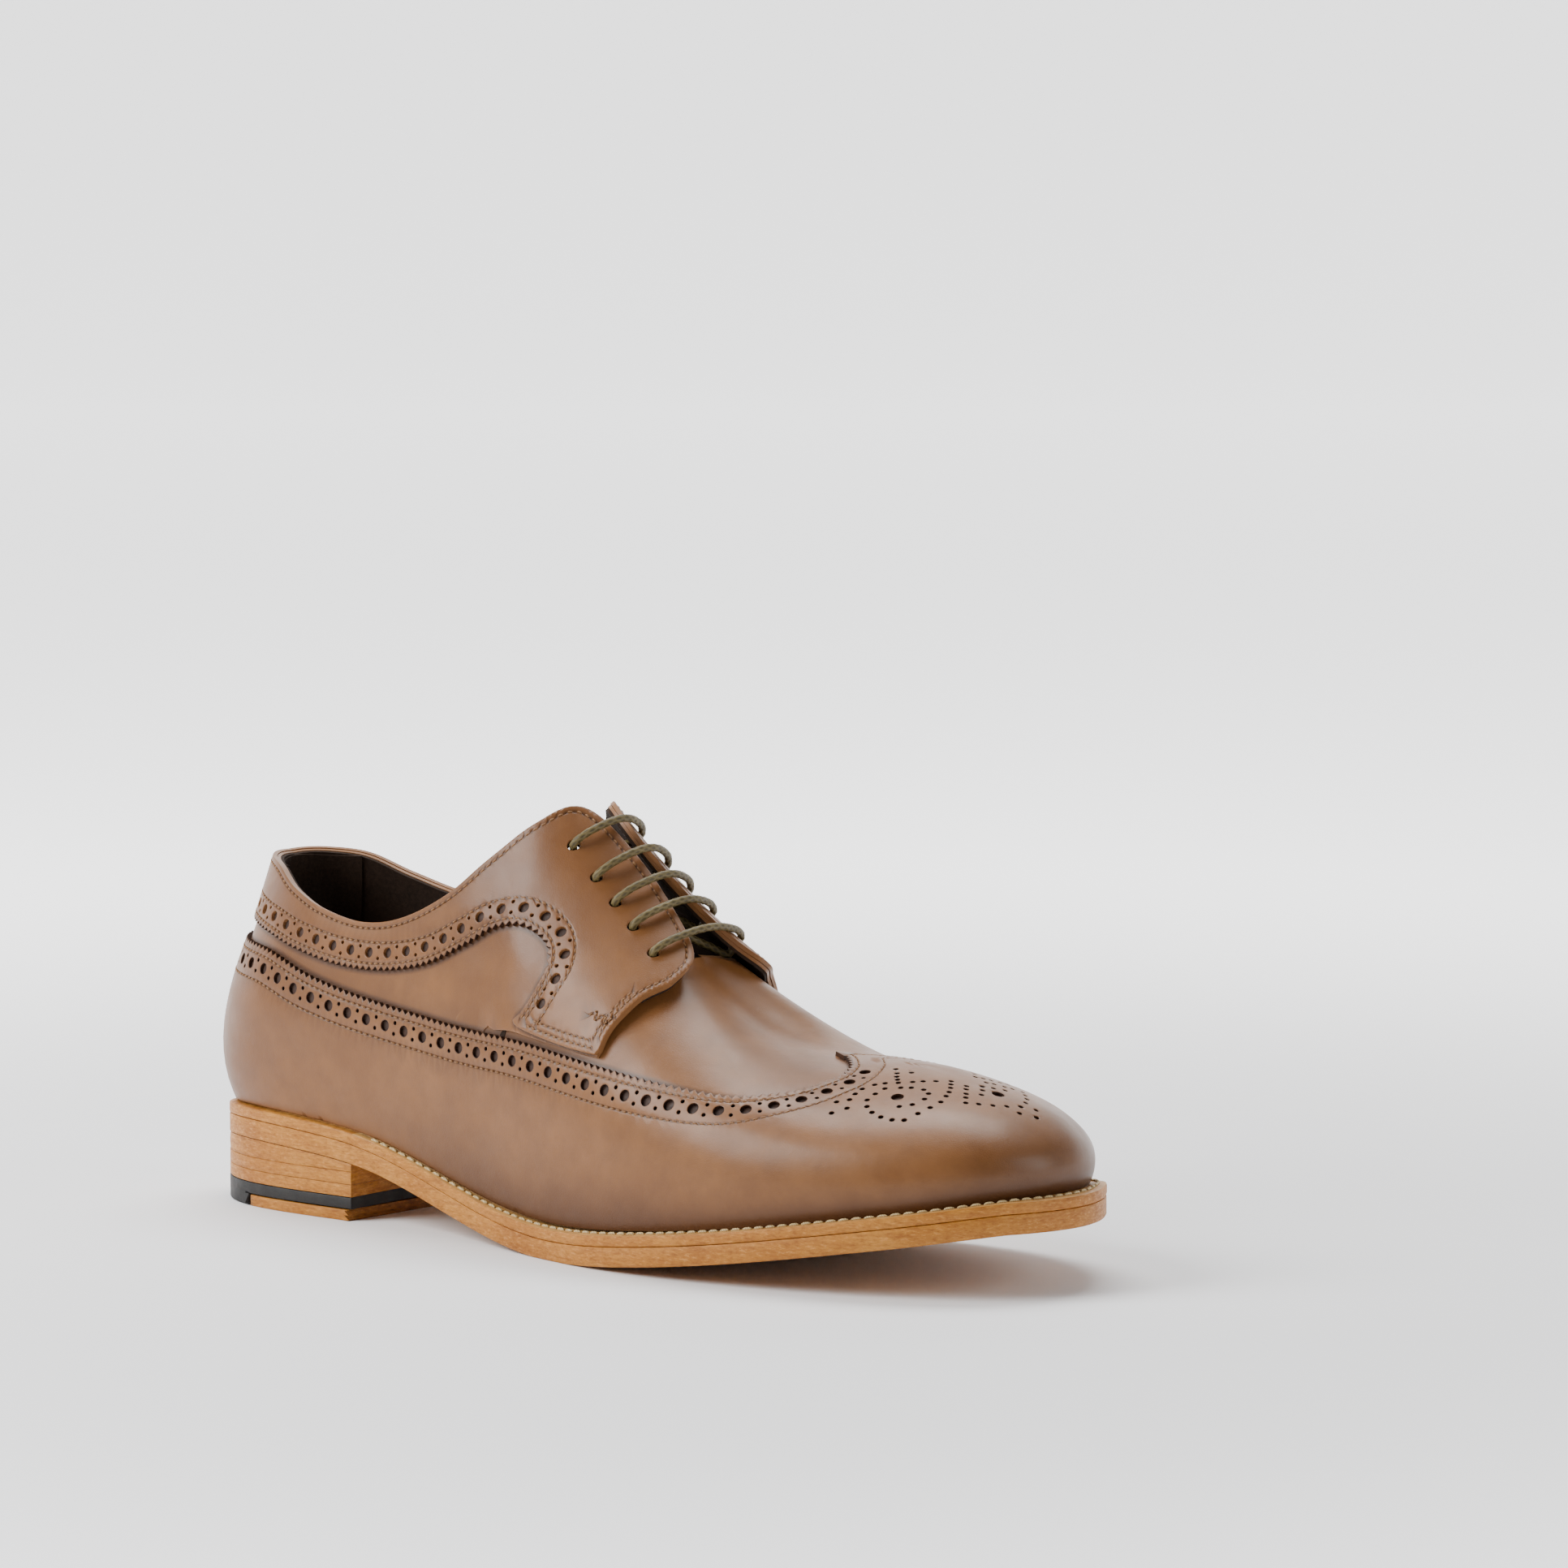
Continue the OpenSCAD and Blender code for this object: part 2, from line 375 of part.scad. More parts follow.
module lace_tips() color([0.2, 0.15, 0.11]) {
    tip(lateral_tail[6], lateral_tail[5]);
    tip(medial_tail[6], medial_tail[5]);
}

module quarter_lateral() quarter(1);
module quarter_medial() quarter(-1);
module facing_lateral() facing(1);
module facing_medial() facing(-1);
module facing_lining_lateral() facing_lining(1);
module facing_lining_medial() facing_lining(-1);
module quarter_lining_lateral() quarter_lining(1);
module quarter_lining_medial() quarter_lining(-1);
module heel_middle_lift() heel_lift(middle_z, lift_t);
module heel_lower_lift() heel_lift(lower_z, lift_t);

long_wing();
vamp();
quarter_lateral();
quarter_medial();
facing_lateral();
facing_medial();
facing_lining_lateral();
facing_lining_medial();
quarter_lining_lateral();
quarter_lining_medial();
heel_grip();
vamp_lining();
heel_stiffener();
toe_puff();
tongue();
tongue_lining();
insock();
insole();
insole_rib();
cork_filler();
shank();
welt();
heel_rand();
outsole();
welt_stitching();
heel_seat_lift();
heel_middle_lift();
heel_lower_lift();
heel_rubber_top_piece();
heel_leather_inlay();
heel_nails();
lace();
lace_tips();
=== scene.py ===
import math
import bpy
import numpy as np
from mathutils import Vector, Matrix
from mathutils.geometry import delaunay_2d_cdt
from mathutils.kdtree import KDTree


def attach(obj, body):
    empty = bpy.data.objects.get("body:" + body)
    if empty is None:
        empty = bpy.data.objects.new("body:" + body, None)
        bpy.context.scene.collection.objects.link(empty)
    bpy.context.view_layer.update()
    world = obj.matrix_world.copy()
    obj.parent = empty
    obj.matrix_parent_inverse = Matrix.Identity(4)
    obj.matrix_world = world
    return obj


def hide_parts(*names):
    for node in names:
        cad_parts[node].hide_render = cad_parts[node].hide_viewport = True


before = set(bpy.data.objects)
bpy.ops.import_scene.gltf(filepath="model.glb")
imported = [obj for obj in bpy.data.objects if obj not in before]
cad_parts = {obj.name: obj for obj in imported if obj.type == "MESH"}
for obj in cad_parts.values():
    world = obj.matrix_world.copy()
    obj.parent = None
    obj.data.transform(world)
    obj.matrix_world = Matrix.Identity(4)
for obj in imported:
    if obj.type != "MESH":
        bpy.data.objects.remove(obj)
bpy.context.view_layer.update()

rng = np.random.default_rng(7)

# ---------------------------------------------------------------- the last surface, as in part.scad (mm)
BACK_X = [-32, -39, -36.5, -27.5, -23, -16, -6]
TOE_X = [258, 260, 261, 253, 242, 216, 206]
RISE = [0, 0.11, 0.34, 0.57, 0.77, 1, 1]
FEATHER_Z = [27, 28, 29, 28, 25.5, 14, 7.5, 11, 15.5, 20.5, 24, 26.5, 27]
RIDGE_Z = [120, 118, 118, 122, 126, 138, 110, 86.5, 63, 56.5, 56, 56, 55]
FEATHER_OUT = [0, 17.5, 28.5, 31, 30.5, 33.5, 41.5, 48, 46, 40, 29, 15, 0]
FEATHER_IN = [0, 16.5, 27.5, 31, 28, 23, 25, 38, 46, 46, 38, 22, 0]
WIDE_OUT = [0, 17.5, 30, 34.5, 35, 37, 44, 50, 49, 42, 30, 15, 0]
WIDE_IN = [0, 19, 31, 35, 34, 31, 32, 42, 49, 47, 39, 23, 0]
RIDGE_Y = [0, 0, 0, 0, -1, -2, -2, -1, 1, 4, 6, 7, 7]
FULL_3 = [0.82, 0.82, 0.82, 0.85, 0.86, 0.88, 0.9, 0.9, 0.9, 0.9, 0.9, 0.9, 0.9]
FULL_4 = [0.68, 0.66, 0.67, 0.7, 0.71, 0.68, 0.57, 0.56, 0.66, 0.69, 0.73, 0.74, 0.74]
FULL_5 = [0.43, 0.43, 0.43, 0.41, 0.36, 0.26, 0.18, 0.1, 0.26, 0.3, 0.31, 0.33, 0.36]
EDGE_OUT = [3.2, 3.4, 3.4, 3.3, 3.2, 3.6, 5.2, 6.2, 6, 6, 6, 6.3, 7]
FLAP_TOP = [[0, 0.73], [1, 0.735], [1.8, 0.715], [2.5, 0.64], [3.1, 0.575], [3.7, 0.535], [4.2, 0.55], [4.7, 0.625], [5.1, 0.735], [5.5, 0.855], [5.8, 0.955], [6.3, 0.97], [6.8, 0.945], [7.2, 0.895], [7.12, 0.81], [6.85, 0.71], [6.66, 0.58], [6.6, 0.5]]
FACING_LOW = [[0, 0.54], [1.2, 0.525], [2.1, 0.49], [2.8, 0.44], [3.5, 0.4], [4.1, 0.397], [4.6, 0.435], [5, 0.52], [5.3, 0.605], [5.6, 0.66], [5.85, 0.665], [5.92, 0.62], [5.86, 0.55], [5.76, 0.46], [5.7, 0.412], [6.1, 0.435], [6.4, 0.46], [6.57, 0.478]]
WING_TOP = [[0, 0.45], [1.3, 0.44], [2.3, 0.42], [3.2, 0.35], [3.9, 0.312], [4.6, 0.3], [5.2, 0.32], [6, 0.395], [7, 0.48], [7.8, 0.585], [8.4, 0.7], [9, 0.805], [9.4, 0.87], [9.58, 0.92]]
WING_PEAK = [[9.58, 0.92], [9.54, 0.965], [9.4, 0.99], [9.25, 1]]
EYELETS = [[6.85, 0.822], [6.6, 0.837], [6.38, 0.85], [6.15, 0.862], [5.87, 0.877]]
MM = 0.001


def _net():
    P = np.zeros((24, 7, 3))
    for k in range(24):
        m = k if k <= 12 else 24 - k
        c = RIDGE_Y[m]
        hf = (-FEATHER_OUT[m] if k <= 12 else FEATHER_IN[m]) - c
        hb = (-WIDE_OUT[m] if k <= 12 else WIDE_IN[m]) - c
        y = [hf, hf + 0.8 * (hb - hf), hb, hb * FULL_3[m], hb * FULL_4[m], hb * FULL_5[m], 0]
        s = (1 - math.cos(math.radians(15 * m))) / 2
        for j in range(7):
            P[k, j] = (BACK_X[j] + (TOE_X[j] - BACK_X[j]) * s, c if m in (0, 12) else c + y[j],
                       FEATHER_Z[m] + RISE[j] * (RIDGE_Z[m] - FEATHER_Z[m]))
    return P


NET = _net()
KN = np.array([0, 0, 0, 0, 1, 2, 3, 4, 4, 4, 4]) / 4.0


def _nb(w, p):
    w = np.clip(w, 0, 1 - 1e-9)
    N = [((KN[i] <= w) & (w < KN[i + 1])).astype(float) for i in range(10)]
    for q in range(1, p + 1):
        M = []
        for i in range(len(N) - 1):
            v = np.zeros_like(w)
            if KN[i + q] > KN[i]:
                v = v + (w - KN[i]) / (KN[i + q] - KN[i]) * N[i]
            if KN[i + q + 1] > KN[i + 1]:
                v = v + (KN[i + q + 1] - w) / (KN[i + q + 1] - KN[i + 1]) * N[i + 1]
            M.append(v)
        N = M
    return np.stack(N, -1)


def _dnb(w):
    B = _nb(w, 2)
    out = []
    for j in range(7):
        a = KN[j + 3] - KN[j]
        b = KN[j + 4] - KN[j + 1]
        out.append(3 * ((B[..., j] / a if a > 0 else 0) - (B[..., j + 1] / b if b > 0 else 0)))
    return np.stack(out, -1)


def surf(u, w):
    """points, unit outward normals, d/du and d/dw at u, w (w over 1 is the other side)"""
    u = np.asarray(u, float)
    w = np.asarray(w, float)
    u, w = np.broadcast_arrays(u, w)
    far = w > 1
    uu = np.where(far, 24 - u, u) % 24
    ww = np.where(far, 2 - w, w)
    k = np.floor(uu).astype(int) % 24
    t = uu - np.floor(uu)
    bu = np.stack([(1 - t) ** 3, 3 * t ** 3 - 6 * t * t + 4, -3 * t ** 3 + 3 * t * t + 3 * t + 1, t ** 3], -1) / 6
    du = np.stack([-(1 - t) ** 2, 3 * t * t - 4 * t, -3 * t * t + 2 * t + 1, t * t], -1) / 2
    bw = _nb(ww, 3)
    dw = _dnb(ww)
    idx = np.stack([(k - 1) % 24, k, (k + 1) % 24, (k + 2) % 24], -1)
    C = NET[idx]                                   # ... 4 7 3
    P = np.einsum('...a,...j,...ajc->...c', bu, bw, C)
    Su = np.einsum('...a,...j,...ajc->...c', du, bw, C)
    Sw = np.einsum('...a,...j,...ajc->...c', bu, dw, C)
    n = np.cross(Su, Sw)
    n /= np.linalg.norm(n, axis=-1, keepdims=True) + 1e-12
    sg = np.where(far, -1.0, 1.0)[..., None]
    return P, n, Su * sg, Sw * sg


def ease(t):
    t = np.clip(t, 0, 1)
    return t * t * (3 - 2 * t)


FLAP_LIFT = 5.6


def stand(u, w):
    v = np.where(u > 12, 24 - u, u)
    w = np.where(w > 1, 2 - w, w)
    return ease(v - 4.2) * (ease((w - 0.5) / 0.12) * 0.8 + FLAP_LIFT * np.clip((w - 0.5) / 0.5, 0, None) ** 3)


def quarter_off(u, w):
    v = np.where(u > 12, 24 - u, u)
    return 1.15 * ease((v - 5.2) / 0.4) + stand(u, w)


def along(T, s):
    """smooth value along a table of stations"""
    T = np.asarray(T, float)
    n = len(T)
    s = np.asarray(s, float)
    i = np.clip(np.floor(s).astype(int), 0, n - 2)
    f = (s - i)[:, None]
    a, b, c, d = T[np.maximum(i - 1, 0)], T[i], T[i + 1], T[np.minimum(i + 2, n - 1)]
    return 0.5 * (2 * b + (c - a) * f + (2 * a - 5 * b + 4 * c - d) * f * f + (3 * b - a - 3 * c + d) * f ** 3)


def smooth(T, n=400, a=0.0, b=1.0):
    return along(T, np.linspace(a, b, n) * (len(T) - 1))


def P3(c, off=0.0):
    P, n, _, _ = surf(c[:, 0], c[:, 1])
    o = off(c[:, 0], c[:, 1]) if callable(off) else off
    return P + n * np.reshape(o, (-1, 1)) if np.ndim(o) else P + n * o


def arclen(c):
    p = P3(c)
    return np.concatenate([[0], np.cumsum(np.linalg.norm(np.diff(p, axis=0), axis=1))])


def resample(c, step=None, n=None, phase=0.0, closed=False):
    L = arclen(c)
    if n is None:
        n = max(2, int(round(L[-1] / step)) + (0 if closed else 1))
    s = (np.arange(n) + phase) * (L[-1] / n) if closed else np.linspace(0, L[-1], n)
    return np.stack([np.interp(s, L, c[:, 0]), np.interp(s, L, c[:, 1])], -1)


def jac_step(c, vec):
    """moves each u, w by a small 3-D vector along the surface (mm)"""
    _, _, Su, Sw = surf(c[:, 0], c[:, 1])
    a = (Su * Su).sum(-1)
    b = (Su * Sw).sum(-1)
    d = (Sw * Sw).sum(-1)
    p = (Su * vec).sum(-1)
    q = (Sw * vec).sum(-1)
    det = a * d - b * b + 1e-9
    return c + np.stack([(d * p - b * q) / det, (a * q - b * p) / det], -1)


def side_dirs(c, closed=False):
    p, n, _, _ = surf(c[:, 0], c[:, 1])
    t = np.roll(p, -1, 0) - np.roll(p, 1, 0) if closed else np.gradient(p, axis=0)
    t /= np.linalg.norm(t, axis=1, keepdims=True) + 1e-12
    return t, np.cross(n, t), n


def offset(c, d, closed=False, steps=None):
    """curve at d mm to the left of c, seen from outside"""
    steps = steps or max(1, int(abs(d) / 1.2))
    for _ in range(steps):
        _, s, _ = side_dirs(c, closed)
        c = jac_step(c, s * (d / steps))
    return c


def circle(p, r, n=12, rot=0.0):
    """closed loop of radius r mm round the point p = (u, w)"""
    c = np.repeat(np.array([p], float), n, 0)
    _, nn, Su, _ = surf(c[:1, 0], c[:1, 1])
    e1 = Su[0] / np.linalg.norm(Su[0])
    e2 = np.cross(nn[0], e1)
    a = np.linspace(0, 2 * np.pi, n, endpoint=False) + rot
    v = r * (np.cos(a)[:, None] * e1 + np.sin(a)[:, None] * e2)
    for _ in range(2):
        c = jac_step(c, v / 2)
    return c


# ---------------------------------------------------------------- plane coordinates that keep lengths about right
_ug = np.linspace(-3, 13, 641)
_sx = np.concatenate([[0], np.cumsum(np.linalg.norm(np.diff(surf(_ug, np.full(641, 0.35))[0], axis=0), axis=1))])
_wg = np.linspace(0, 1, 101)
_sw = np.concatenate([[0], np.cumsum(np.linalg.norm(np.diff(surf(np.full(101, 7.0), np.minimum(_wg, 0.9999))[0], axis=0), axis=1))])


def plane(c):
    u, w = c[:, 0], c[:, 1]
    y = np.where(w > 1, 2 * _sw[-1] - np.interp(2 - w, _wg, _sw), np.interp(w, _wg, _sw))
    return np.stack([np.interp(u, _ug, _sx), y], -1)


def unplane(q):
    y = q[:, 1]
    w = np.where(y > _sw[-1], 2 - np.interp(2 * _sw[-1] - y, _sw, _wg), np.interp(y, _sw, _wg))
    return np.stack([np.interp(q[:, 0], _sx, _ug), w], -1)


def inside(poly, q):
    x, y = q[:, 0], q[:, 1]
    r = np.zeros(len(q), bool)
    a = poly
    b = np.roll(poly, -1, 0)
    for (x0, y0), (x1, y1) in zip(a, b):
        if y0 == y1:
            continue
        m = (y0 > y) != (y1 > y)
        r ^= m & (x < (x1 - x0) * (y - y0) / (y1 - y0) + x0)
    return r


def tree_of(pts):
    k = KDTree(len(pts))
    for i, p in enumerate(pts):
        k.insert((float(p[0]), float(p[1]), 0.0), i)
    k.balance()
    return k


def dist_to(q, pts, cap=1e9):
    """distance from each of q to the nearest of pts (plane coordinates)"""
    k = tree_of(pts)
    return np.array([k.find((float(a), float(b), 0.0))[2] for a, b in q])


def near(q, pts, r):
    return dist_to(q, pts) < r


# ---------------------------------------------------------------- mesh helpers
def collect(name, verts, faces, mat, body="shoe", normals=None, smooth_all=True, attrs=None, uv=None):
    me = bpy.data.meshes.new(name)
    me.from_pydata((np.asarray(verts) * MM).tolist(), [], [tuple(int(v) for v in f) for f in faces])
    me.update()
    ob = bpy.data.objects.new(name, me)
    bpy.context.scene.collection.objects.link(ob)
    for p in me.polygons:
        p.use_smooth = smooth_all
    if attrs:
        for k, v in attrs.items():
            a = me.attributes.new(k, 'FLOAT', 'POINT')
            a.data.foreach_set('value', np.asarray(v, np.float32))
    if uv is not None:
        l = me.uv_layers.new(name="uv")
        vi = np.zeros(len(me.loops), np.int32)
        me.loops.foreach_get('vertex_index', vi)
        l.data.foreach_set('uv', np.asarray(uv, np.float32)[vi].ravel())
    if normals is not None:
        vi = np.zeros(len(me.loops), np.int32)
        me.loops.foreach_get('vertex_index', vi)
        nn = np.asarray(normals, float)
        me.normals_split_custom_set(nn[vi].tolist() if len(nn) == len(verts) else nn.tolist())
    if isinstance(mat, (list, tuple)):
        for m in mat:
            me.materials.append(m)
    else:
        me.materials.append(mat)
    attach(ob, body)
    return ob


def sheet(name, outline, mat, outer, thick, holes=(), step=3.2, edge_drop=0.12, rim=0.32,
          grooves=(), replaces=(), weld=False, burnish_and_shade=None, back=True, dark_edge_weight=None):
    """a leather piece cut to `outline` (closed u, w loop, counter-clockwise from outside), with real holes.
    outer(u, w) is the offset of its outer face; grooves are (points, depth, width, stitch pits),
    each a dent in the face with painted shade along it and in its stitch pits.
    The burnish weight is partly polish and partly painted shade; the edge weight darkens cut edges,
    partly edge burnish and partly painted shade between gimped teeth."""
    poly = plane(outline)
    loops = [outline] + list(holes)
    E, b = [], 0
    for l in loops:
        n = len(l)
        E += [(b + j, b + (j + 1) % n) for j in range(n)]
        b += n
    base = np.concatenate(loops)
    hq = [plane(h) for h in holes]
    hc = np.array([q.mean(0) for q in hq]) if hq else np.zeros((0, 2))
    hr = np.array([np.linalg.norm(q - c, axis=1).max() for q, c in zip(hq, hc)]) if hq else np.zeros(0)
    htree = tree_of(hc) if len(hc) else None

    def clear_of_holes(q, extra):
        if htree is None:
            return np.ones(len(q), bool)
        out = np.ones(len(q), bool)
        for i, (a, c) in enumerate(q):
            for co, k, d in htree.find_range((float(a), float(c), 0.0), 3.0):
                if d < hr[k] + extra:
                    out[i] = False
                    break
        return out

    rings = []
    for i, l in enumerate(loops):
        q = plane(l)
        area = np.sum(q[:, 0] * np.roll(q[:, 1], -1) - np.roll(q[:, 0], -1) * q[:, 1])
        sg = (1 if area > 0 else -1) * (1 if i == 0 else -1)
        _, s, _ = side_dirs(l, True)
        rings.append(jac_step(l, s * sg * (rim if i == 0 else min(rim, 0.2))))
    r0 = rings[0]
    ok = inside(poly, plane(r0)) & clear_of_holes(plane(r0), 0.05)
    if weld:
        ok &= r0[:, 0] < 11.98
    r0 = r0[ok]
    inner = [r0] + rings[1:]
    inner = np.concatenate(inner)
    inner = inner[inside(poly, plane(inner))]
    gp = [g[0] if o == 0 else offset(g[0], o, steps=1) for g in grooves for o in (-g[2], -g[2] * 0.5, 0, g[2] * 0.5, g[2])]
    if gp:
        gp = np.concatenate(gp)
        q = plane(gp)
        ok = inside(poly, q) & clear_of_holes(q, 0.28) & ~near(q, np.concatenate([poly, plane(r0)]), 0.16)
        gp = gp[ok]
        inner = np.concatenate([inner, gp])
    lo, hi = poly.min(0), poly.max(0)
    G = np.stack(np.meshgrid(np.arange(lo[0], hi[0], step), np.arange(lo[1], hi[1], step), indexing='ij'), -1).reshape(-1, 2)
    G[:, 1] += (np.round((G[:, 0] - lo[0]) / step) % 2) * step * 0.5
    G = G[inside(poly, G)]
    G = G[clear_of_holes(G, 0.6)]
    G = G[~near(G, np.concatenate([plane(base), plane(inner)]), step * 0.5)]
    allc = np.concatenate([base, inner, unplane(G)])
    allq = plane(allc)
    res = delaunay_2d_cdt([Vector((float(a), float(c))) for a, c in allq], E, [], 1, 1e-5)
    vq = np.array([(v.x, v.y) for v in res[0]])
    F = np.array([f for f in res[2] if len(f) == 3], int)
    src = np.array([(o[0] if len(o) else -1) for o in res[3]])
    uvw = np.where((src >= 0)[:, None], allc[np.maximum(src, 0)], unplane(vq))
    cq = vq[F].mean(1)
    ok = inside(poly, cq)
    if htree is not None:
        for i in np.where(ok)[0]:
            for co, k, d in htree.find_range((float(cq[i, 0]), float(cq[i, 1]), 0.0), 3.0):
                if d < hr[k] and inside(hq[k], cq[i:i + 1])[0]:
                    ok[i] = False
                    break
    F = F[ok]
    used = np.unique(F)
    remap = -np.ones(len(vq), int)
    remap[used] = np.arange(len(used))
    F = remap[F]
    uvw, vq, src = uvw[used], vq[used], src[used]
    P, N, Su, Sw = surf(uvw[:, 0], uvw[:, 1])
    fn = np.cross(P[F[:, 1]] - P[F[:, 0]], P[F[:, 2]] - P[F[:, 0]])
    F[(fn * N[F[:, 0]]).sum(-1) < 0] = F[(fn * N[F[:, 0]]).sum(-1) < 0][:, ::-1]
    zip_ = (uvw[:, 0] > 12 - 1e-6) if weld else np.zeros(len(uvw), bool)
    on_edge = (src >= 0) & (src < len(base)) & ~zip_
    off = np.broadcast_to(outer(uvw[:, 0], uvw[:, 1]), len(uvw)).astype(float).copy()
    under = off - (thick(uvw) if callable(thick) else thick)
    off = off - edge_drop * on_edge
    # painted shade: darker along each dent, and fully so in stitch pits and along lines without pits (shadow lines
    # beside overlapping edges)
    shade_paint = np.zeros(len(uvw))
    for pts, depth, width, pits in grooves:
        gq = plane(pts)
        box = (vq > gq.min(0) - 2).all(1) & (vq < gq.max(0) + 2).all(1)
        idx = np.where(box)[0]
        if not len(idx):
            continue
        idx = idx[near(vq[idx], gq, width + 0.9)]
        if not len(idx):
            continue
        a, e = gq[:-1], gq[1:] - gq[:-1]
        p = vq[idx]
        t = np.clip(((p[:, None] - a) * e).sum(-1) / ((e * e).sum(-1) + 1e-12), 0, 1)
        d = np.linalg.norm(p[:, None] - (a + t[..., None] * e), axis=-1).min(1)
        k = ease(1 - d / width)
        off[idx] -= depth * k
        shade_paint[idx] = np.maximum(shade_paint[idx], 0.45 * k)
        if pits is None:
            shade_paint[idx] = np.maximum(shade_paint[idx], 1.0 * k)
            continue
        dp = dist_to(p, plane(pits))
        kp = ease(1 - dp / 0.75)
        off[idx] -= 0.28 * kp
        shade_paint[idx] = np.maximum(shade_paint[idx], kp)
    top = P + N * off[:, None]
    bot = P + N * under[:, None]
    nv = len(uvw)
    fn = np.cross(top[F[:, 1]] - top[F[:, 0]], top[F[:, 2]] - top[F[:, 0]])
    vn = np.zeros((nv, 3))
    for k in range(3):
        np.add.at(vn, F[:, k], fn)
    vn /= np.linalg.norm(vn, axis=1, keepdims=True) + 1e-12
    e = np.concatenate([F[:, [0, 1]], F[:, [1, 2]], F[:, [2, 0]]])
    have = set(map(tuple, e.tolist()))
    B = np.array([p for p in e.tolist() if (p[1], p[0]) not in have], int)
    if weld:
        B = B[~(zip_[B[:, 0]] & zip_[B[:, 1]])]
        vn[zip_] = N[zip_]
    outw = np.cross(top[B[:, 1]] - top[B[:, 0]], N[B[:, 0]])
    outw /= np.linalg.norm(outw, axis=1, keepdims=True) + 1e-12
    on = np.zeros((nv, 3))
    np.add.at(on, B[:, 0], outw)
    np.add.at(on, B[:, 1], outw)
    bl = np.linalg.norm(on, axis=1) > 1e-6
    on[bl] /= np.linalg.norm(on[bl], axis=1, keepdims=True)
    vn[bl] = N[bl] * 0.8 + on[bl] * 0.5
    vn /= np.linalg.norm(vn, axis=1, keepdims=True) + 1e-12
    bn = np.zeros(nv) if burnish_and_shade is None else burnish_and_shade(uvw, P)
    tn = np.zeros(nv) if dark_edge_weight is None else np.broadcast_to(dark_edge_weight(uvw), nv).astype(float)
    verts, nrm, uvs = [top], [vn], [vq]
    # darker cut edges: partly edge burnish, partly painted shade between the gimped teeth
    shade_paint_parts, edg, brn, edge_burnish_and_shade = [shade_paint], [np.where(on_edge, 0.35, 0.0)], [bn], [tn * on_edge * 0.7]
    faces = [F.tolist()]
    cnt = nv
    if back:
        verts.append(bot)
        nrm.append(-N)
        uvs.append(vq)
        shade_paint_parts.append(np.zeros(nv))
        edg.append(np.ones(nv))
        brn.append(bn)
        edge_burnish_and_shade.append(tn)
        faces.append((F[:, ::-1] + cnt).tolist())
        cnt += nv
    bi = B.ravel()
    wn = np.repeat(outw, 2, 0)
    verts += [top[bi], bot[bi]]
    nrm += [wn, wn]
    uvs += [vq[bi]] * 2
    shade_paint_parts += [np.zeros(len(bi))] * 2
    edg += [np.ones(len(bi))] * 2
    brn += [bn[bi]] * 2
    edge_burnish_and_shade += [tn[bi]] * 2
    i, m = np.arange(len(B)), len(bi)
    faces.append(np.stack([cnt + 2 * i + 1, cnt + 2 * i, cnt + m + 2 * i, cnt + m + 2 * i + 1], -1).tolist())
    ob = collect(name, np.concatenate(verts), [f for ff in faces for f in ff], mat, normals=np.concatenate(nrm),
                 attrs=dict(painted_shade=np.concatenate(shade_paint_parts), cut=np.concatenate(edg), burnish_and_shade=np.concatenate(brn), edge_burnish_and_shade=np.concatenate(edge_burnish_and_shade)), uv=np.concatenate(uvs) / 1000.0)
    if replaces:
        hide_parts(*replaces)
    return ob


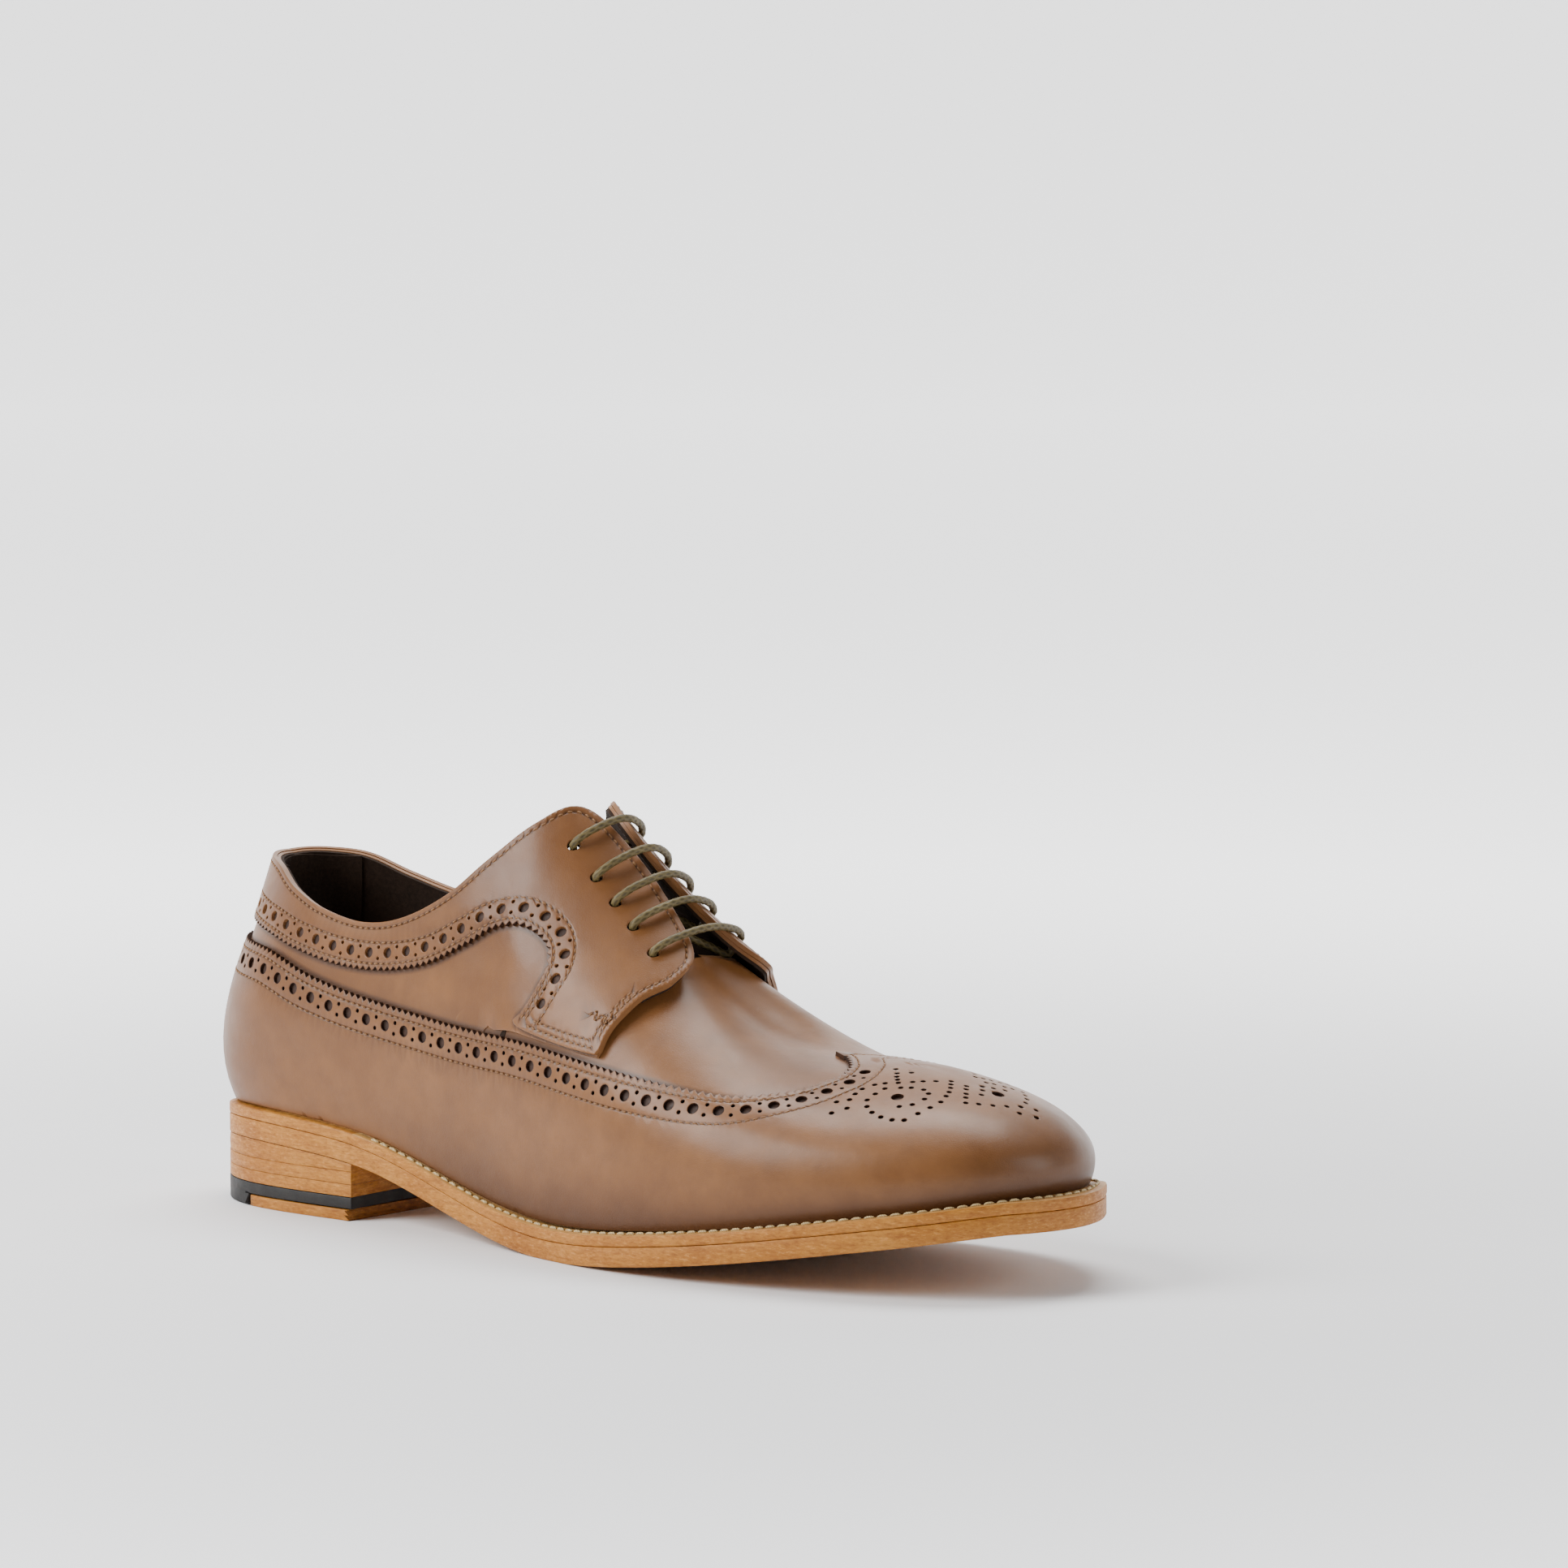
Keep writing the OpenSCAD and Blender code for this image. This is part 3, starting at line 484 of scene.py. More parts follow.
# ---------------------------------------------------------------- materials
class Nodes:
    def __init__(self, name):
        m = bpy.data.materials.new(name)
        m.use_nodes = True
        self.m, self.t = m, m.node_tree
        self.t.nodes.clear()
        self.out = self.t.nodes.new("ShaderNodeOutputMaterial")
        self.bsdf = self.t.nodes.new("ShaderNodeBsdfPrincipled")
        self.t.links.new(self.bsdf.outputs[0], self.out.inputs[0])
        self.co = self.t.nodes.new("ShaderNodeTexCoord").outputs["Object"]

    def link(self, a, b):
        self.t.links.new(a, b)

    def noise(self, scale, detail=3.0, rough=0.55, co=None, stretch=None, dist=0.0):
        n = self.t.nodes.new("ShaderNodeTexNoise")
        n.inputs["Scale"].default_value = scale
        n.inputs["Detail"].default_value = detail
        n.inputs["Roughness"].default_value = rough
        n.inputs["Distortion"].default_value = dist
        self.link(self.warp(co or self.co, stretch), n.inputs["Vector"])
        return n.outputs["Fac"]

    def warp(self, co, stretch):
        if not stretch:
            return co
        m = self.t.nodes.new("ShaderNodeMapping")
        m.inputs["Scale"].default_value = stretch
        self.link(co, m.inputs["Vector"])
        return m.outputs[0]

    def voronoi(self, scale, feature="DISTANCE_TO_EDGE", stretch=None):
        n = self.t.nodes.new("ShaderNodeTexVoronoi")
        n.feature = feature
        n.inputs["Scale"].default_value = scale
        self.link(self.warp(self.co, stretch), n.inputs["Vector"])
        return n.outputs["Distance"]

    def attr(self, name):
        n = self.t.nodes.new("ShaderNodeAttribute")
        n.attribute_name = name
        return n.outputs["Fac"]

    def ramp(self, fac, stops):
        n = self.t.nodes.new("ShaderNodeValToRGB")
        e = n.color_ramp.elements
        while len(e) > len(stops):
            e.remove(e[-1])
        while len(e) < len(stops):
            e.new(0.5)
        for el, (p, c) in zip(e, stops):
            el.position = p
            el.color = (*c, 1) if len(c) == 3 else c
        self.link(fac, n.inputs[0])
        return n.outputs["Color"]

    def grey(self, fac, a, b, lo=0.3, hi=0.7):
        n = self.t.nodes.new("ShaderNodeMapRange")
        n.inputs["From Min"].default_value = lo
        n.inputs["From Max"].default_value = hi
        n.inputs["To Min"].default_value = a
        n.inputs["To Max"].default_value = b
        self.link(fac, n.inputs["Value"])
        return n.outputs["Result"]

    def mix(self, fac, a, b, mode="MIX"):
        n = self.t.nodes.new("ShaderNodeMix")
        n.data_type = "RGBA"
        n.blend_type = mode
        for s, v in ((0, fac), (6, a), (7, b)):
            if isinstance(v, (int, float)):
                n.inputs[s].default_value = v
            elif isinstance(v, (tuple, list)):
                n.inputs[s].default_value = (*v, 1)
            else:
                self.link(v, n.inputs[s])
        return n.outputs[2]

    def math(self, op, a, b=0.0):
        n = self.t.nodes.new("ShaderNodeMath")
        n.operation = op
        for i, v in enumerate((a, b)):
            if isinstance(v, (int, float)):
                n.inputs[i].default_value = v
            else:
                self.link(v, n.inputs[i])
        return n.outputs[0]

    def bump(self, height, dist, strength=1.0, prev=None):
        n = self.t.nodes.new("ShaderNodeBump")
        n.inputs["Distance"].default_value = dist
        n.inputs["Strength"].default_value = strength
        self.link(height, n.inputs["Height"])
        if prev is not None:
            self.link(prev, n.inputs["Normal"])
        return n.outputs[0]

    def set(self, color=None, rough=None, normal=None, **k):
        for s, v in (("Base Color", color), ("Roughness", rough), ("Normal", normal)):
            if v is None:
                continue
            if isinstance(v, (int, float)):
                self.bsdf.inputs[s].default_value = v
            elif isinstance(v, tuple):
                self.bsdf.inputs[s].default_value = (*v, 1)
            else:
                self.link(v, self.bsdf.inputs[s])
        for s, v in k.items():
            self.bsdf.inputs[s.replace("_", " ")].default_value = v
        return self.m


def rgb(r, g, b):
    f = lambda c: (c / 255 / 12.92) if c <= 10 else ((c / 255 + 0.055) / 1.055) ** 2.4
    return (f(r), f(g), f(b))


def m_calf(name="calf_tan", lightness=1.0):
    n = Nodes(name)
    k = lightness
    cloud = n.noise(14, 4, 0.6)
    mottle = n.noise(120, 5, 0.62)
    c = n.ramp(cloud, [(0.3, rgb(104 * k, 65 * k, 32 * k)), (0.5, rgb(121 * k, 78 * k, 40 * k)), (0.72, rgb(134 * k, 89 * k, 49 * k))])
    c = n.mix(n.grey(mottle, 0.0, 0.3, 0.38, 0.66), c, rgb(90 * k, 54 * k, 26 * k))
    # burnish weight: real polish at the toe, heel and facings, and painted shade low on the sides and over the tongue
    c = n.mix(n.attr("burnish_and_shade"), c, rgb(64, 36, 16))
    # painted shade in stitch dents and pits and beside overlapping edges
    c = n.mix(n.math("MULTIPLY", n.attr("painted_shade"), 0.75), c, rgb(38, 20, 10))
    c = n.mix(n.math("MULTIPLY", n.attr("cut"), 0.8), c, rgb(138, 96, 60))
    # darker cut edges: partly edge burnish, partly painted shade between the gimped teeth
    c = n.mix(n.attr("edge_burnish_and_shade"), c, rgb(48, 26, 13))
    pores = n.voronoi(1500)
    fine = n.noise(2600, 2, 0.5)
    h = n.math("ADD", n.math("MINIMUM", n.math("MULTIPLY", pores, 3.0), 0.5), n.math("MULTIPLY", fine, 0.3))
    b = n.bump(h, 0.00004, 0.6)
    b = n.bump(n.noise(70, 4, 0.62), 0.0006, 0.3, b)
    rough = n.grey(n.noise(90, 4), 0.36, 0.48)
    return n.set(c, rough, b, Specular_IOR_Level=0.34, Coat_Weight=0.1, Coat_Roughness=0.22)


def m_lining():
    n = Nodes("lining_brown")
    c = n.ramp(n.noise(45, 4), [(0.3, rgb(30, 20, 14)), (0.7, rgb(46, 32, 23))])
    c = n.mix(n.grey(n.noise(900, 2), 0, 0.5), c, rgb(60, 44, 33))
    b = n.bump(n.noise(1800, 3, 0.7), 0.00012, 0.7)
    b = n.bump(n.noise(90, 3), 0.0006, 0.3, b)
    return n.set(c, n.grey(n.noise(300), 0.8, 0.95), b, Specular_IOR_Level=0.2)


def m_sole(name="sole_leather", light=1.0, lines=True):
    n = Nodes(name)
    k = light
    c = n.ramp(n.noise(30, 5, 0.65), [(0.28, rgb(154 * k, 94 * k, 30 * k)), (0.5, rgb(176 * k, 115 * k, 42 * k)), (0.75, rgb(196 * k, 136 * k, 58 * k))])
    fibre = n.noise(90, 8, 0.75, stretch=(0.7, 0.7, 9))
    c = n.mix(n.grey(fibre, 0, 0.5, 0.42, 0.66), c, rgb(134, 74, 24))
    speck = n.noise(900, 3, 0.7, stretch=(0.5, 0.5, 1.6))
    c = n.mix(n.grey(speck, 0, 0.55, 0.52, 0.72), c, rgb(104, 56, 18))
    c = n.mix(n.grey(speck, 0.5, 0.0, 0.28, 0.46), c, rgb(222, 160, 84))
    # painted shade in the crease where stacked sole layers meet
    c = n.mix(n.attr("painted_shade"), c, rgb(60, 32, 14))
    b = n.bump(fibre, 0.00022, 0.6)
    b = n.bump(speck, 0.00009, 0.6, b)
    return n.set(c, n.grey(speck, 0.42, 0.6), b, Specular_IOR_Level=0.3)


def m_bottom():
    n = Nodes("sole_grain")
    c = n.ramp(n.noise(22, 5, 0.6), [(0.3, rgb(178, 128, 78)), (0.7, rgb(206, 160, 108))])
    c = n.mix(n.grey(n.noise(500, 3), 0, 0.4), c, rgb(140, 94, 54))
    b = n.bump(n.voronoi(900), 0.00006, 0.6)
    return n.set(c, n.grey(n.noise(60), 0.42, 0.6), b)


def m_welt():
    n = Nodes("welt_leather")
    c = n.ramp(n.noise(50, 5, 0.65), [(0.3, rgb(176, 122, 56)), (0.55, rgb(196, 144, 74)), (0.75, rgb(212, 166, 98))])
    c = n.mix(n.grey(n.noise(240, 4, 0.7, stretch=(0.5, 0.5, 3)), 0, 0.5, 0.45, 0.7), c, rgb(130, 84, 44))
    # painted shade weight; the welt strip sets it to zero
    c = n.mix(n.attr("painted_shade"), c, rgb(104, 64, 34))
    b = n.bump(n.noise(900, 4, 0.7), 0.00012, 0.6)
    return n.set(c, n.grey(n.noise(200), 0.45, 0.62), b)


def m_thread(name, a, b_, scale=900):
    n = Nodes(name)
    twist = n.t.nodes.new("ShaderNodeTexWave")
    twist.wave_type = "BANDS"
    twist.bands_direction = "DIAGONAL"
    twist.inputs["Scale"].default_value = scale
    twist.inputs["Distortion"].default_value = 1.5
    n.link(n.co, twist.inputs["Vector"])
    c = n.mix(n.grey(n.noise(400, 2), 0, 0.8), a, b_)
    c = n.mix(n.math("MULTIPLY", twist.outputs["Fac"], 0.35), c, tuple(v * 0.45 for v in a))
    return n.set(c, n.grey(n.noise(700), 0.45, 0.7), n.bump(twist.outputs["Fac"], 0.00009, 0.8))


def m_lace():
    n = Nodes("lace_cotton")
    c = n.ramp(n.noise(120, 3), [(0.3, rgb(88, 76, 44)), (0.7, rgb(112, 98, 62))])
    # painted shade in the valleys between braid strands
    c = n.mix(n.math("MULTIPLY", n.attr("painted_shade"), 0.8), c, rgb(44, 36, 18))
    b = n.bump(n.noise(3000, 2), 0.00006, 0.6)
    return n.set(c, n.grey(n.noise(800), 0.38, 0.6), b, Specular_IOR_Level=0.3)


def m_rubber():
    n = Nodes("rubber_black")
    c = n.ramp(n.noise(60, 4), [(0.3, rgb(14, 13, 12)), (0.7, rgb(26, 24, 23))])
    c = n.mix(n.grey(n.noise(1500, 2), 0, 0.4, 0.5, 0.8), c, rgb(40, 37, 36))
    return n.set(c, n.grey(n.noise(200), 0.5, 0.68), n.bump(n.noise(1200, 3), 0.00006, 0.6))


def m_simple(name, a, b_, scale, rough, bump_scale, metal=0.0):
    n = Nodes(name)
    c = n.ramp(n.noise(scale, 4), [(0.3, a), (0.7, b_)])
    c = n.mix(n.grey(n.noise(scale * 9, 3), 0, 0.35, 0.45, 0.75), c, tuple(v * 0.5 for v in a))
    return n.set(c, n.grey(n.noise(scale * 4), rough[0], rough[1]), n.bump(n.noise(bump_scale, 3), 0.00008, 0.6), Metallic=metal)


CALF = m_calf()
# a darker copy of the calf for the tongue: painted shade, as the tongue sits in shade between the facings
CALF_PAINTED_SHADE = m_calf("calf_painted_shade", 0.62)
LINING = m_lining()
SOLE = m_sole()
LIFT = m_sole("lift_leather", 1.0)
BOTTOM = m_bottom()
WELT = m_welt()
THREAD = m_thread("upper_thread", rgb(120, 80, 40), rgb(152, 108, 62))
CREAM = m_thread("welt_thread", rgb(186, 158, 106), rgb(214, 190, 140), 700)
LACE = m_lace()
RUBBER = m_rubber()
BOARD = m_simple("board", rgb(150, 118, 78), rgb(178, 146, 102), 80, (0.7, 0.85), 900)
CORK = m_simple("cork", rgb(96, 66, 42), rgb(140, 102, 66), 300, (0.8, 0.95), 700)
STEEL = m_simple("steel", rgb(120, 124, 130), rgb(160, 164, 170), 120, (0.25, 0.4), 1500, 1.0)
BRASS = m_simple("brass_pin", rgb(176, 140, 70), rgb(206, 172, 98), 300, (0.25, 0.45), 1500, 1.0)
TIP = m_simple("lace_tip_plastic", rgb(44, 32, 22), rgb(70, 52, 36), 200, (0.25, 0.4), 900)
INSOCK = m_simple("insock_leather", rgb(80, 54, 36), rgb(104, 72, 48), 60, (0.5, 0.65), 1500)
# dark discs inside the punched holes: partly polish gathered in the holes, partly painted shade
PUNCH_POLISH_AND_SHADE = m_simple("punch_polish_and_shade", rgb(44, 25, 14), rgb(64, 38, 22), 300, (0.6, 0.8), 1500)

# ---------------------------------------------------------------- the camera
AZ, EL = math.radians(40), math.radians(6.5)
R_ = Vector((math.cos(AZ), math.sin(AZ), 0))
B_ = Vector((math.sin(AZ) * math.cos(EL), -math.cos(AZ) * math.cos(EL), math.sin(EL)))
U_ = B_.cross(R_)
cam = bpy.data.objects.new("camera", bpy.data.cameras.new("camera"))
bpy.context.scene.collection.objects.link(cam)
cam.matrix_world = Matrix(((R_.x, U_.x, B_.x, 0), (R_.y, U_.y, B_.y, 0), (R_.z, U_.z, B_.z, 0), (0, 0, 0, 1)))
cam.location = (Vector((114, 0, 55)) + R_ * 38.38 + U_ * 71.92 + B_ * 2500) * MM
cam.data.sensor_width = 36
cam.data.lens = 205.9
cam.data.clip_start = 0.05
cam.data.clip_end = 60
bpy.context.scene.camera = cam

# ---------------------------------------------------------------- curves of the pattern
OUT_TOP = 1.25          # outer face of the long wing
Q_STEP = 1.2


def q_off(u, w):
    v = np.where(u > 12, 24 - u, u)
    w2 = np.where(w > 1, 2 - w, w)
    return -0.15 + 1.3 * ease((v - 5.2) / 0.4) + ease(v - 4.2) * (ease((w2 - 0.5) / 0.12) + FLAP_LIFT * np.clip((w2 - 0.5) / 0.5, 0, None) ** 3)


def f_off(u, w):
    return q_off(u, w) + 1.35


def wing_out(u, w):
    return np.full(np.shape(u), OUT_TOP)


def over(c):
    c = np.asarray(c, float)
    return np.stack([c[:, 0], 2 - c[:, 1]], -1)


def cut_at(c, test):
    """keeps the first run of points where test holds"""
    ok = test(c)
    i = np.argmax(~ok) if (~ok).any() else len(c)
    return c[:i]


def gimp(c, pitch, height, fade=None, left=True):
    """toothed edge: c resampled with every second point moved out by height"""
    L = arclen(c)[-1]
    n = int(round(L / pitch)) * 2 + 1
    p = resample(c, n=n)
    t, s, _ = side_dirs(p)
    h = np.where(np.arange(n) % 2 == 1, height * 0.5, -height * 0.5)
    if fade is not None:
        h = h * fade(p)
    return jac_step(p, s * (h if left else -h)[:, None])


def stitches(c, pitch, lead=0.0):
    """centres of a row of stitches, the pits between them, and all the points in order"""
    L = arclen(c)[-1]
    n = max(2, int(round(L / pitch)))
    pts = resample(c, n=2 * n + 1)
    return pts[1::2], pts[0::2], pts


THREADS = []


def row(c, off, pitch=2.2, r=0.27, length=0.74, sink=0.16):
    """one row of stitches: adds thread to THREADS, gives back the dent for the leather below, with painted shade along
    it and in the stitch pits
    """
    mid, pits, pts = stitches(c, pitch)
    P, N, _, _ = surf(mid[:, 0], mid[:, 1])
    a = P3(pits[:-1])
    b = P3(pits[1:])
    T = b - a
    L = np.linalg.norm(T, axis=1)
    T /= L[:, None] + 1e-9
    o = np.broadcast_to(off(mid[:, 0], mid[:, 1]), len(mid)) - sink
    # the offset face is longer or shorter than the last's own line
    THREADS.append((P + N * o[:, None], T, N, L * length * 0.5, np.full(len(mid), r)))
    return (pts, 0.2, 0.62, pits)


def thread_mesh(name, rows, mat, replaces=(), body="shoe"):
    m = 6
    prof = [(-1, 0.0, -0.5), (-0.82, 0.62, -0.15), (-0.4, 0.95, 0.1), (0.4, 0.95, 0.1), (0.82, 0.62, -0.15), (1, 0.0, -0.5)]
    V, F, k = [], [], 0
    for C, T, N, h, r in rows:
        S = np.cross(N, T)
        n = len(C)
        for x, q, lift in prof:
            if q == 0:
                V.append(C + T * (h * x)[:, None] + N * (r * lift)[:, None])
            else:
                for j in range(m):
                    a = 2 * math.pi * j / m
                    V.append(C + T * (h * x)[:, None] + S * (r * q * math.cos(a))[:, None] + N * (r * (q * math.sin(a) + lift))[:, None])
        idx = lambda s, j=0: k + (0 if s == 0 else 1 + (s - 1) * m + (j % m) if s < 5 else 1 + 4 * m) * n + np.arange(n)
        for j in range(m):
            F.append(np.stack([idx(0), idx(1, j + 1), idx(1, j)], -1).tolist())
            for s in range(1, 4):
                F.append(np.stack([idx(s, j), idx(s, j + 1), idx(s + 1, j + 1), idx(s + 1, j)], -1).tolist())
            F.append(np.stack([idx(5), idx(4, j), idx(4, j + 1)], -1).tolist())
        k += (2 + 4 * m) * n
    V = np.concatenate(V)
    ob = collect(name, V, [f for ff in F for f in ff], mat, body=body)
    if replaces:
        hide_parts(*replaces)
    return ob


# places for the dark discs in the holes: painted shade with some polish
DISCS = []


def punch_row(c, off, pitch, big, small, spread=1.55, ends=(0.5, 0.5), skip=None):
    """round holes along c with a pair of small ones between each two"""
    L = arclen(c)
    n = int(round((L[-1] - (ends[0] + ends[1]) * pitch) / pitch)) + 1
    s = ends[0] * pitch + np.arange(n) * (L[-1] - (ends[0] + ends[1]) * pitch) / max(1, n - 1)
    loops = []
    at = lambda q: np.stack([np.interp(q, L, c[:, 0]), np.interp(q, L, c[:, 1])], -1)
    for p in at(s):
        if skip is None or not skip(p):
            loops.append(circle(p, big / 2, 16))
            DISCS.append((p, big / 2 + 0.35, off))
    mid = at((s[1:] + s[:-1]) / 2)
    t, sd, _ = side_dirs(np.stack([at(s[:-1]), mid, at(s[1:])], 1).reshape(-1, 2)) if len(s) > 1 else (None, None, None)
    for i, p in enumerate(mid):
        d = sd[3 * i + 1]
        for sg in (-1, 1):
            q = jac_step(np.array([p]), (d * spread * sg)[None])[0]
            if skip is None or not skip(q):
                loops.append(circle(q, small / 2, 7))
                DISCS.append((q, small / 2 + 0.3, off))
    return loops


def disc_mesh(name, discs, mat, depth):
    V, F, k = [], [], 0
    for p, r, off in discs:
        c = np.concatenate([[p], circle(p, r, 10)])
        P, N, _, _ = surf(c[:, 0], c[:, 1])
        o = np.broadcast_to(off(c[:, 0], c[:, 1]), len(c)) - depth
        V.append(P + N * o[:, None])
        F += [(k, k + 1 + j, k + 1 + (j + 1) % 10) for j in range(10)]
        k += 11
    ob = collect(name, np.concatenate(V), F, mat)
    return ob


def xy_to_uw(x, y, o=1.25):
    """the place on the toe's top over a ground point"""
    uu, ww = np.meshgrid(np.linspace(8.5, 12, 141), np.linspace(0.45, 1.55, 111), indexing='ij')
    P, N, _, _ = surf(uu, ww)
    P = P + N * o
    d = (P[..., 0] - x) ** 2 + (P[..., 1] - y) ** 2
    i = np.unravel_index(d.argmin(), d.shape)
    q = np.array([[uu[i], ww[i]]])
    for _ in range(4):
        P, N, _, _ = surf(q[:, 0], q[:, 1])
        P = P + N * o
        q = jac_step(q, np.array([[x - P[0, 0], y - P[0, 1], 0]]) * 0.9)
    return q[0]


wing_line = np.concatenate([smooth(WING_TOP, 700), smooth(WING_PEAK, 60)[1:]])
flap_line = smooth(FLAP_TOP, 800)
face_line = smooth(FACING_LOW, 800)


def part_of(T, a, b, n=300):
    """the stretch of a table's curve between two of its stations"""
    return along(T, np.linspace(a, b, n))


def clean(c, lo=-0.02, hi=1.0, umin=0.0):
    return c[(c[:, 1] <= hi) & (c[:, 1] >= 0.0) & (c[:, 0] >= umin - 1e-9)]


def burnish_and_shade_map(uvw, P):
    """deeper polish at the toe, the heel and round the facings, and painted shade in a band low along both sides from
    the heel forward
    """
    x, y, z = P[:, 0], P[:, 1], P[:, 2]
    g = lambda cx, cz, sx, sz: np.exp(-((x - cx) / sx) ** 2 - ((z - cz) / sz) ** 2)
    w = np.minimum(uvw[:, 1], 2 - uvw[:, 1])
    b = 0.5 * g(258, 36, 16, 22) + 0.4 * g(-34, 60, 12, 40) + 0.2 * g(70, 100, 26, 16) + 0.15 * g(215, 30, 30, 12)
    # painted shade: a darker band low along both sides, from the heel forward
    b += 0.75 * np.exp(-(w / 0.1) ** 2) * ease((x - 20) / 70)
    return np.clip(b, 0, 0.8)


# ---- long wing
NOTCH = [(242.5, 0.78), (248, 0.78), (234.5, 1.75), (229, 0.78)]


def toe_w(x):
    w = np.linspace(0.2, 0.9995, 400)
    P, N, _, _ = surf(np.full(400, 12.0), w)
    return float(np.interp(-x, -(P + N * OUT_TOP)[:, 0], w))


def notch(x, r, upper):
    c = circle((12.0, toe_w(x)), r, 24)
    lat = c[c[:, 0] <= 12]
    med = c[c[:, 0] > 12]
    if not upper:
        lat = lat[np.argsort(lat[:, 1])]
        lat = lat[(12 - lat[:, 0]) > 1e-3]
        w0, w1 = c[:, 1].min(), c[:, 1].max()
        return np.concatenate([[[12, w0]], lat, [[12, w1]]])
    med = np.stack([24 - med[:, 0], 2 - med[:, 1]], -1)
    med = med[np.argsort(med[:, 1])]
    med = med[(12 - med[:, 0]) > 1e-3]
    w0, w1 = 2 - c[:, 1].max(), 2 - c[:, 1].min()
    return np.concatenate([[[12, w0]], med, [[12, w1]]])


def toe_line():
    c = sorted(NOTCH, key=lambda p: -p[0])
    seq, w = [], 0.005
    parts = [(toe_w(x), notch(x, r, False)) for x, r in c] + [(2 - toe_w(x), notch(x, r, True)) for x, r in c]
    parts.sort(key=lambda p: p[0])
    for _, n in parts:
        if n[0, 1] - w > 0.01:
            k = max(2, int((n[0, 1] - w) / 0.014))
            seq.append(np.stack([np.full(k, 12.0), np.linspace(w, n[0, 1], k, endpoint=False)], -1)[(1 if seq else 0):])
        seq.append(n)
        w = n[-1, 1]
    k = int((1.995 - w) / 0.014)
    seq.append(np.stack([np.full(k, 12.0), np.linspace(w, 1.995, k + 1)[1:]], -1))
    return np.concatenate(seq)


top_edge = gimp(wing_line, 2.4, 1.15)
tip = smooth(WING_PEAK, 12)
gw = top_edge
gw = gw[gw[:, 1] < 0.985]
peak_end = np.array([[9.25, 1.0]])
foot = lambda a, b, n: np.stack([np.linspace(a, b, n), np.full(n, 0.005)], -1)
bottom = resample(foot(0, 12, 600), step=2.2)
tl = toe_line()
# the two ends meet at the middle of the heel, along the last's curve
heel_seam = np.stack([np.zeros(22), np.linspace(gw[0, 1], 0.005, 24)[1:-1]], -1)
wing_outline = np.concatenate([bottom[:-1], tl, over(bottom[:-1])[::-1], over(heel_seam)[::-1], over(gw), peak_end, gw[::-1], heel_seam])


def wing_row(d):
    c = offset(resample(wing_line, step=0.9), -d)
    k = np.argmax(c[:, 1] >= 1.0) if (c[:, 1] >= 1.0).any() else len(c)
    c = c[:k]
    c = c[c[:, 0] >= 0.03]
    return c


rows_w = [wing_row(2.1), wing_row(9.3)]
holes_w = []
band = wing_row(5.2)
band = band[:np.argmax(band[:, 0] > 9.85) or len(band)] if (band[:, 0] > 9.85).any() else band
holes_w = punch_row(band, wing_out, 7.7, 3.2, 1.2, ends=(0.45, 0.35))
MEDALLION = [(206, -30), (208.5, -26.5), (213, -23.5), (216, -25), (219.5, -25.5), (223, -25), (226, -23.5), (227.5, -19.5),
             (228.5, -15.5), (229, -11.5), (228, -8), (227, -5.5), (225.5, -3), (224, -1), (222.5, 1), (204, -25.5), (206.5, -23),
             (211, -21), (206, -20), (211, -17.5), (206, -17), (211.5, -14), (207.5, -13.5), (209.5, -11.5), (221, -19.5),
             (223.5, -17), (224.5, -13), (223.5, -10), (221, -9), (217.5, -10), (215, -11.5), (212.5, -9.5), (211, -8),
             (209.5, -6.5), (208, -4.5), (205.5, -2), (215.5, -7), (217.5, -5), (220, -2.5), (211, -2), (234, -7), (232, -4.5),
             (230.5, -2.5), (228.5, 0), (227, 2), (236.5, -4.5), (239, -1.5), (241, 2), (245, 2.5), (231, 4), (233, 1)]
med = []
for x, y in MEDALLION:
    p = xy_to_uw(x, y)
    med.append(circle(p, 0.78, 8))
    DISCS.append((p, 1.05, wing_out))
p = xy_to_uw(217.5, -16)
med.append(circle(p, 1.75, 16))
DISCS.append((p, 2.05, wing_out))
n0 = len(DISCS)
DISCS += [(np.array([q[0], 2 - q[1]]), r, o) for q, r, o in DISCS[:n0]]
DISCS += [(np.array([12.0, toe_w(x)]), r + 0.35, wing_out) for x, r in NOTCH]
med += [over(h) for h in med]
holes_w += [over(h) for h in holes_w]
grooves_w = [row(c, wing_out) for c in rows_w]
grooves_w += [row(over(c), wing_out) for c in rows_w]
# all the wing's cut edges take the darker edge colour: partly edge burnish, partly painted shade between the teeth
wing = sheet("wing_leather", wing_outline, CALF, wing_out, 1.35, holes=holes_w + med, grooves=grooves_w,
             replaces=("long_wing",), weld=True, burnish_and_shade=burnish_and_shade_map, dark_edge_weight=lambda c: np.ones(len(c)))

# ---- vamp
VAMP_BACK = [[4.95, 0.05], [4.95, 0.2], [5.0, 0.33], [5.3, 0.42], [5.75, 0.56], [6.45, 0.72], [7.1, 0.87], [7.25, 1]]
vb = resample(smooth(VAMP_BACK, 300), step=2.0)
fr = np.stack([np.full(60, 9.85), np.linspace(0.05, 1.95, 60)], -1)
vb_all = np.concatenate([vb, over(vb)[::-1][1:]])
vamp_outline = np.concatenate([np.stack([np.linspace(4.95, 9.85, 80), np.full(80, 0.05)], -1)[:-1], fr,
                               np.stack([np.linspace(9.85, 4.95, 80), np.full(80, 1.95)], -1)[1:-1], vb_all[::-1][:-1]])
vamp_out = lambda u, w: np.full(np.shape(u), -0.12)
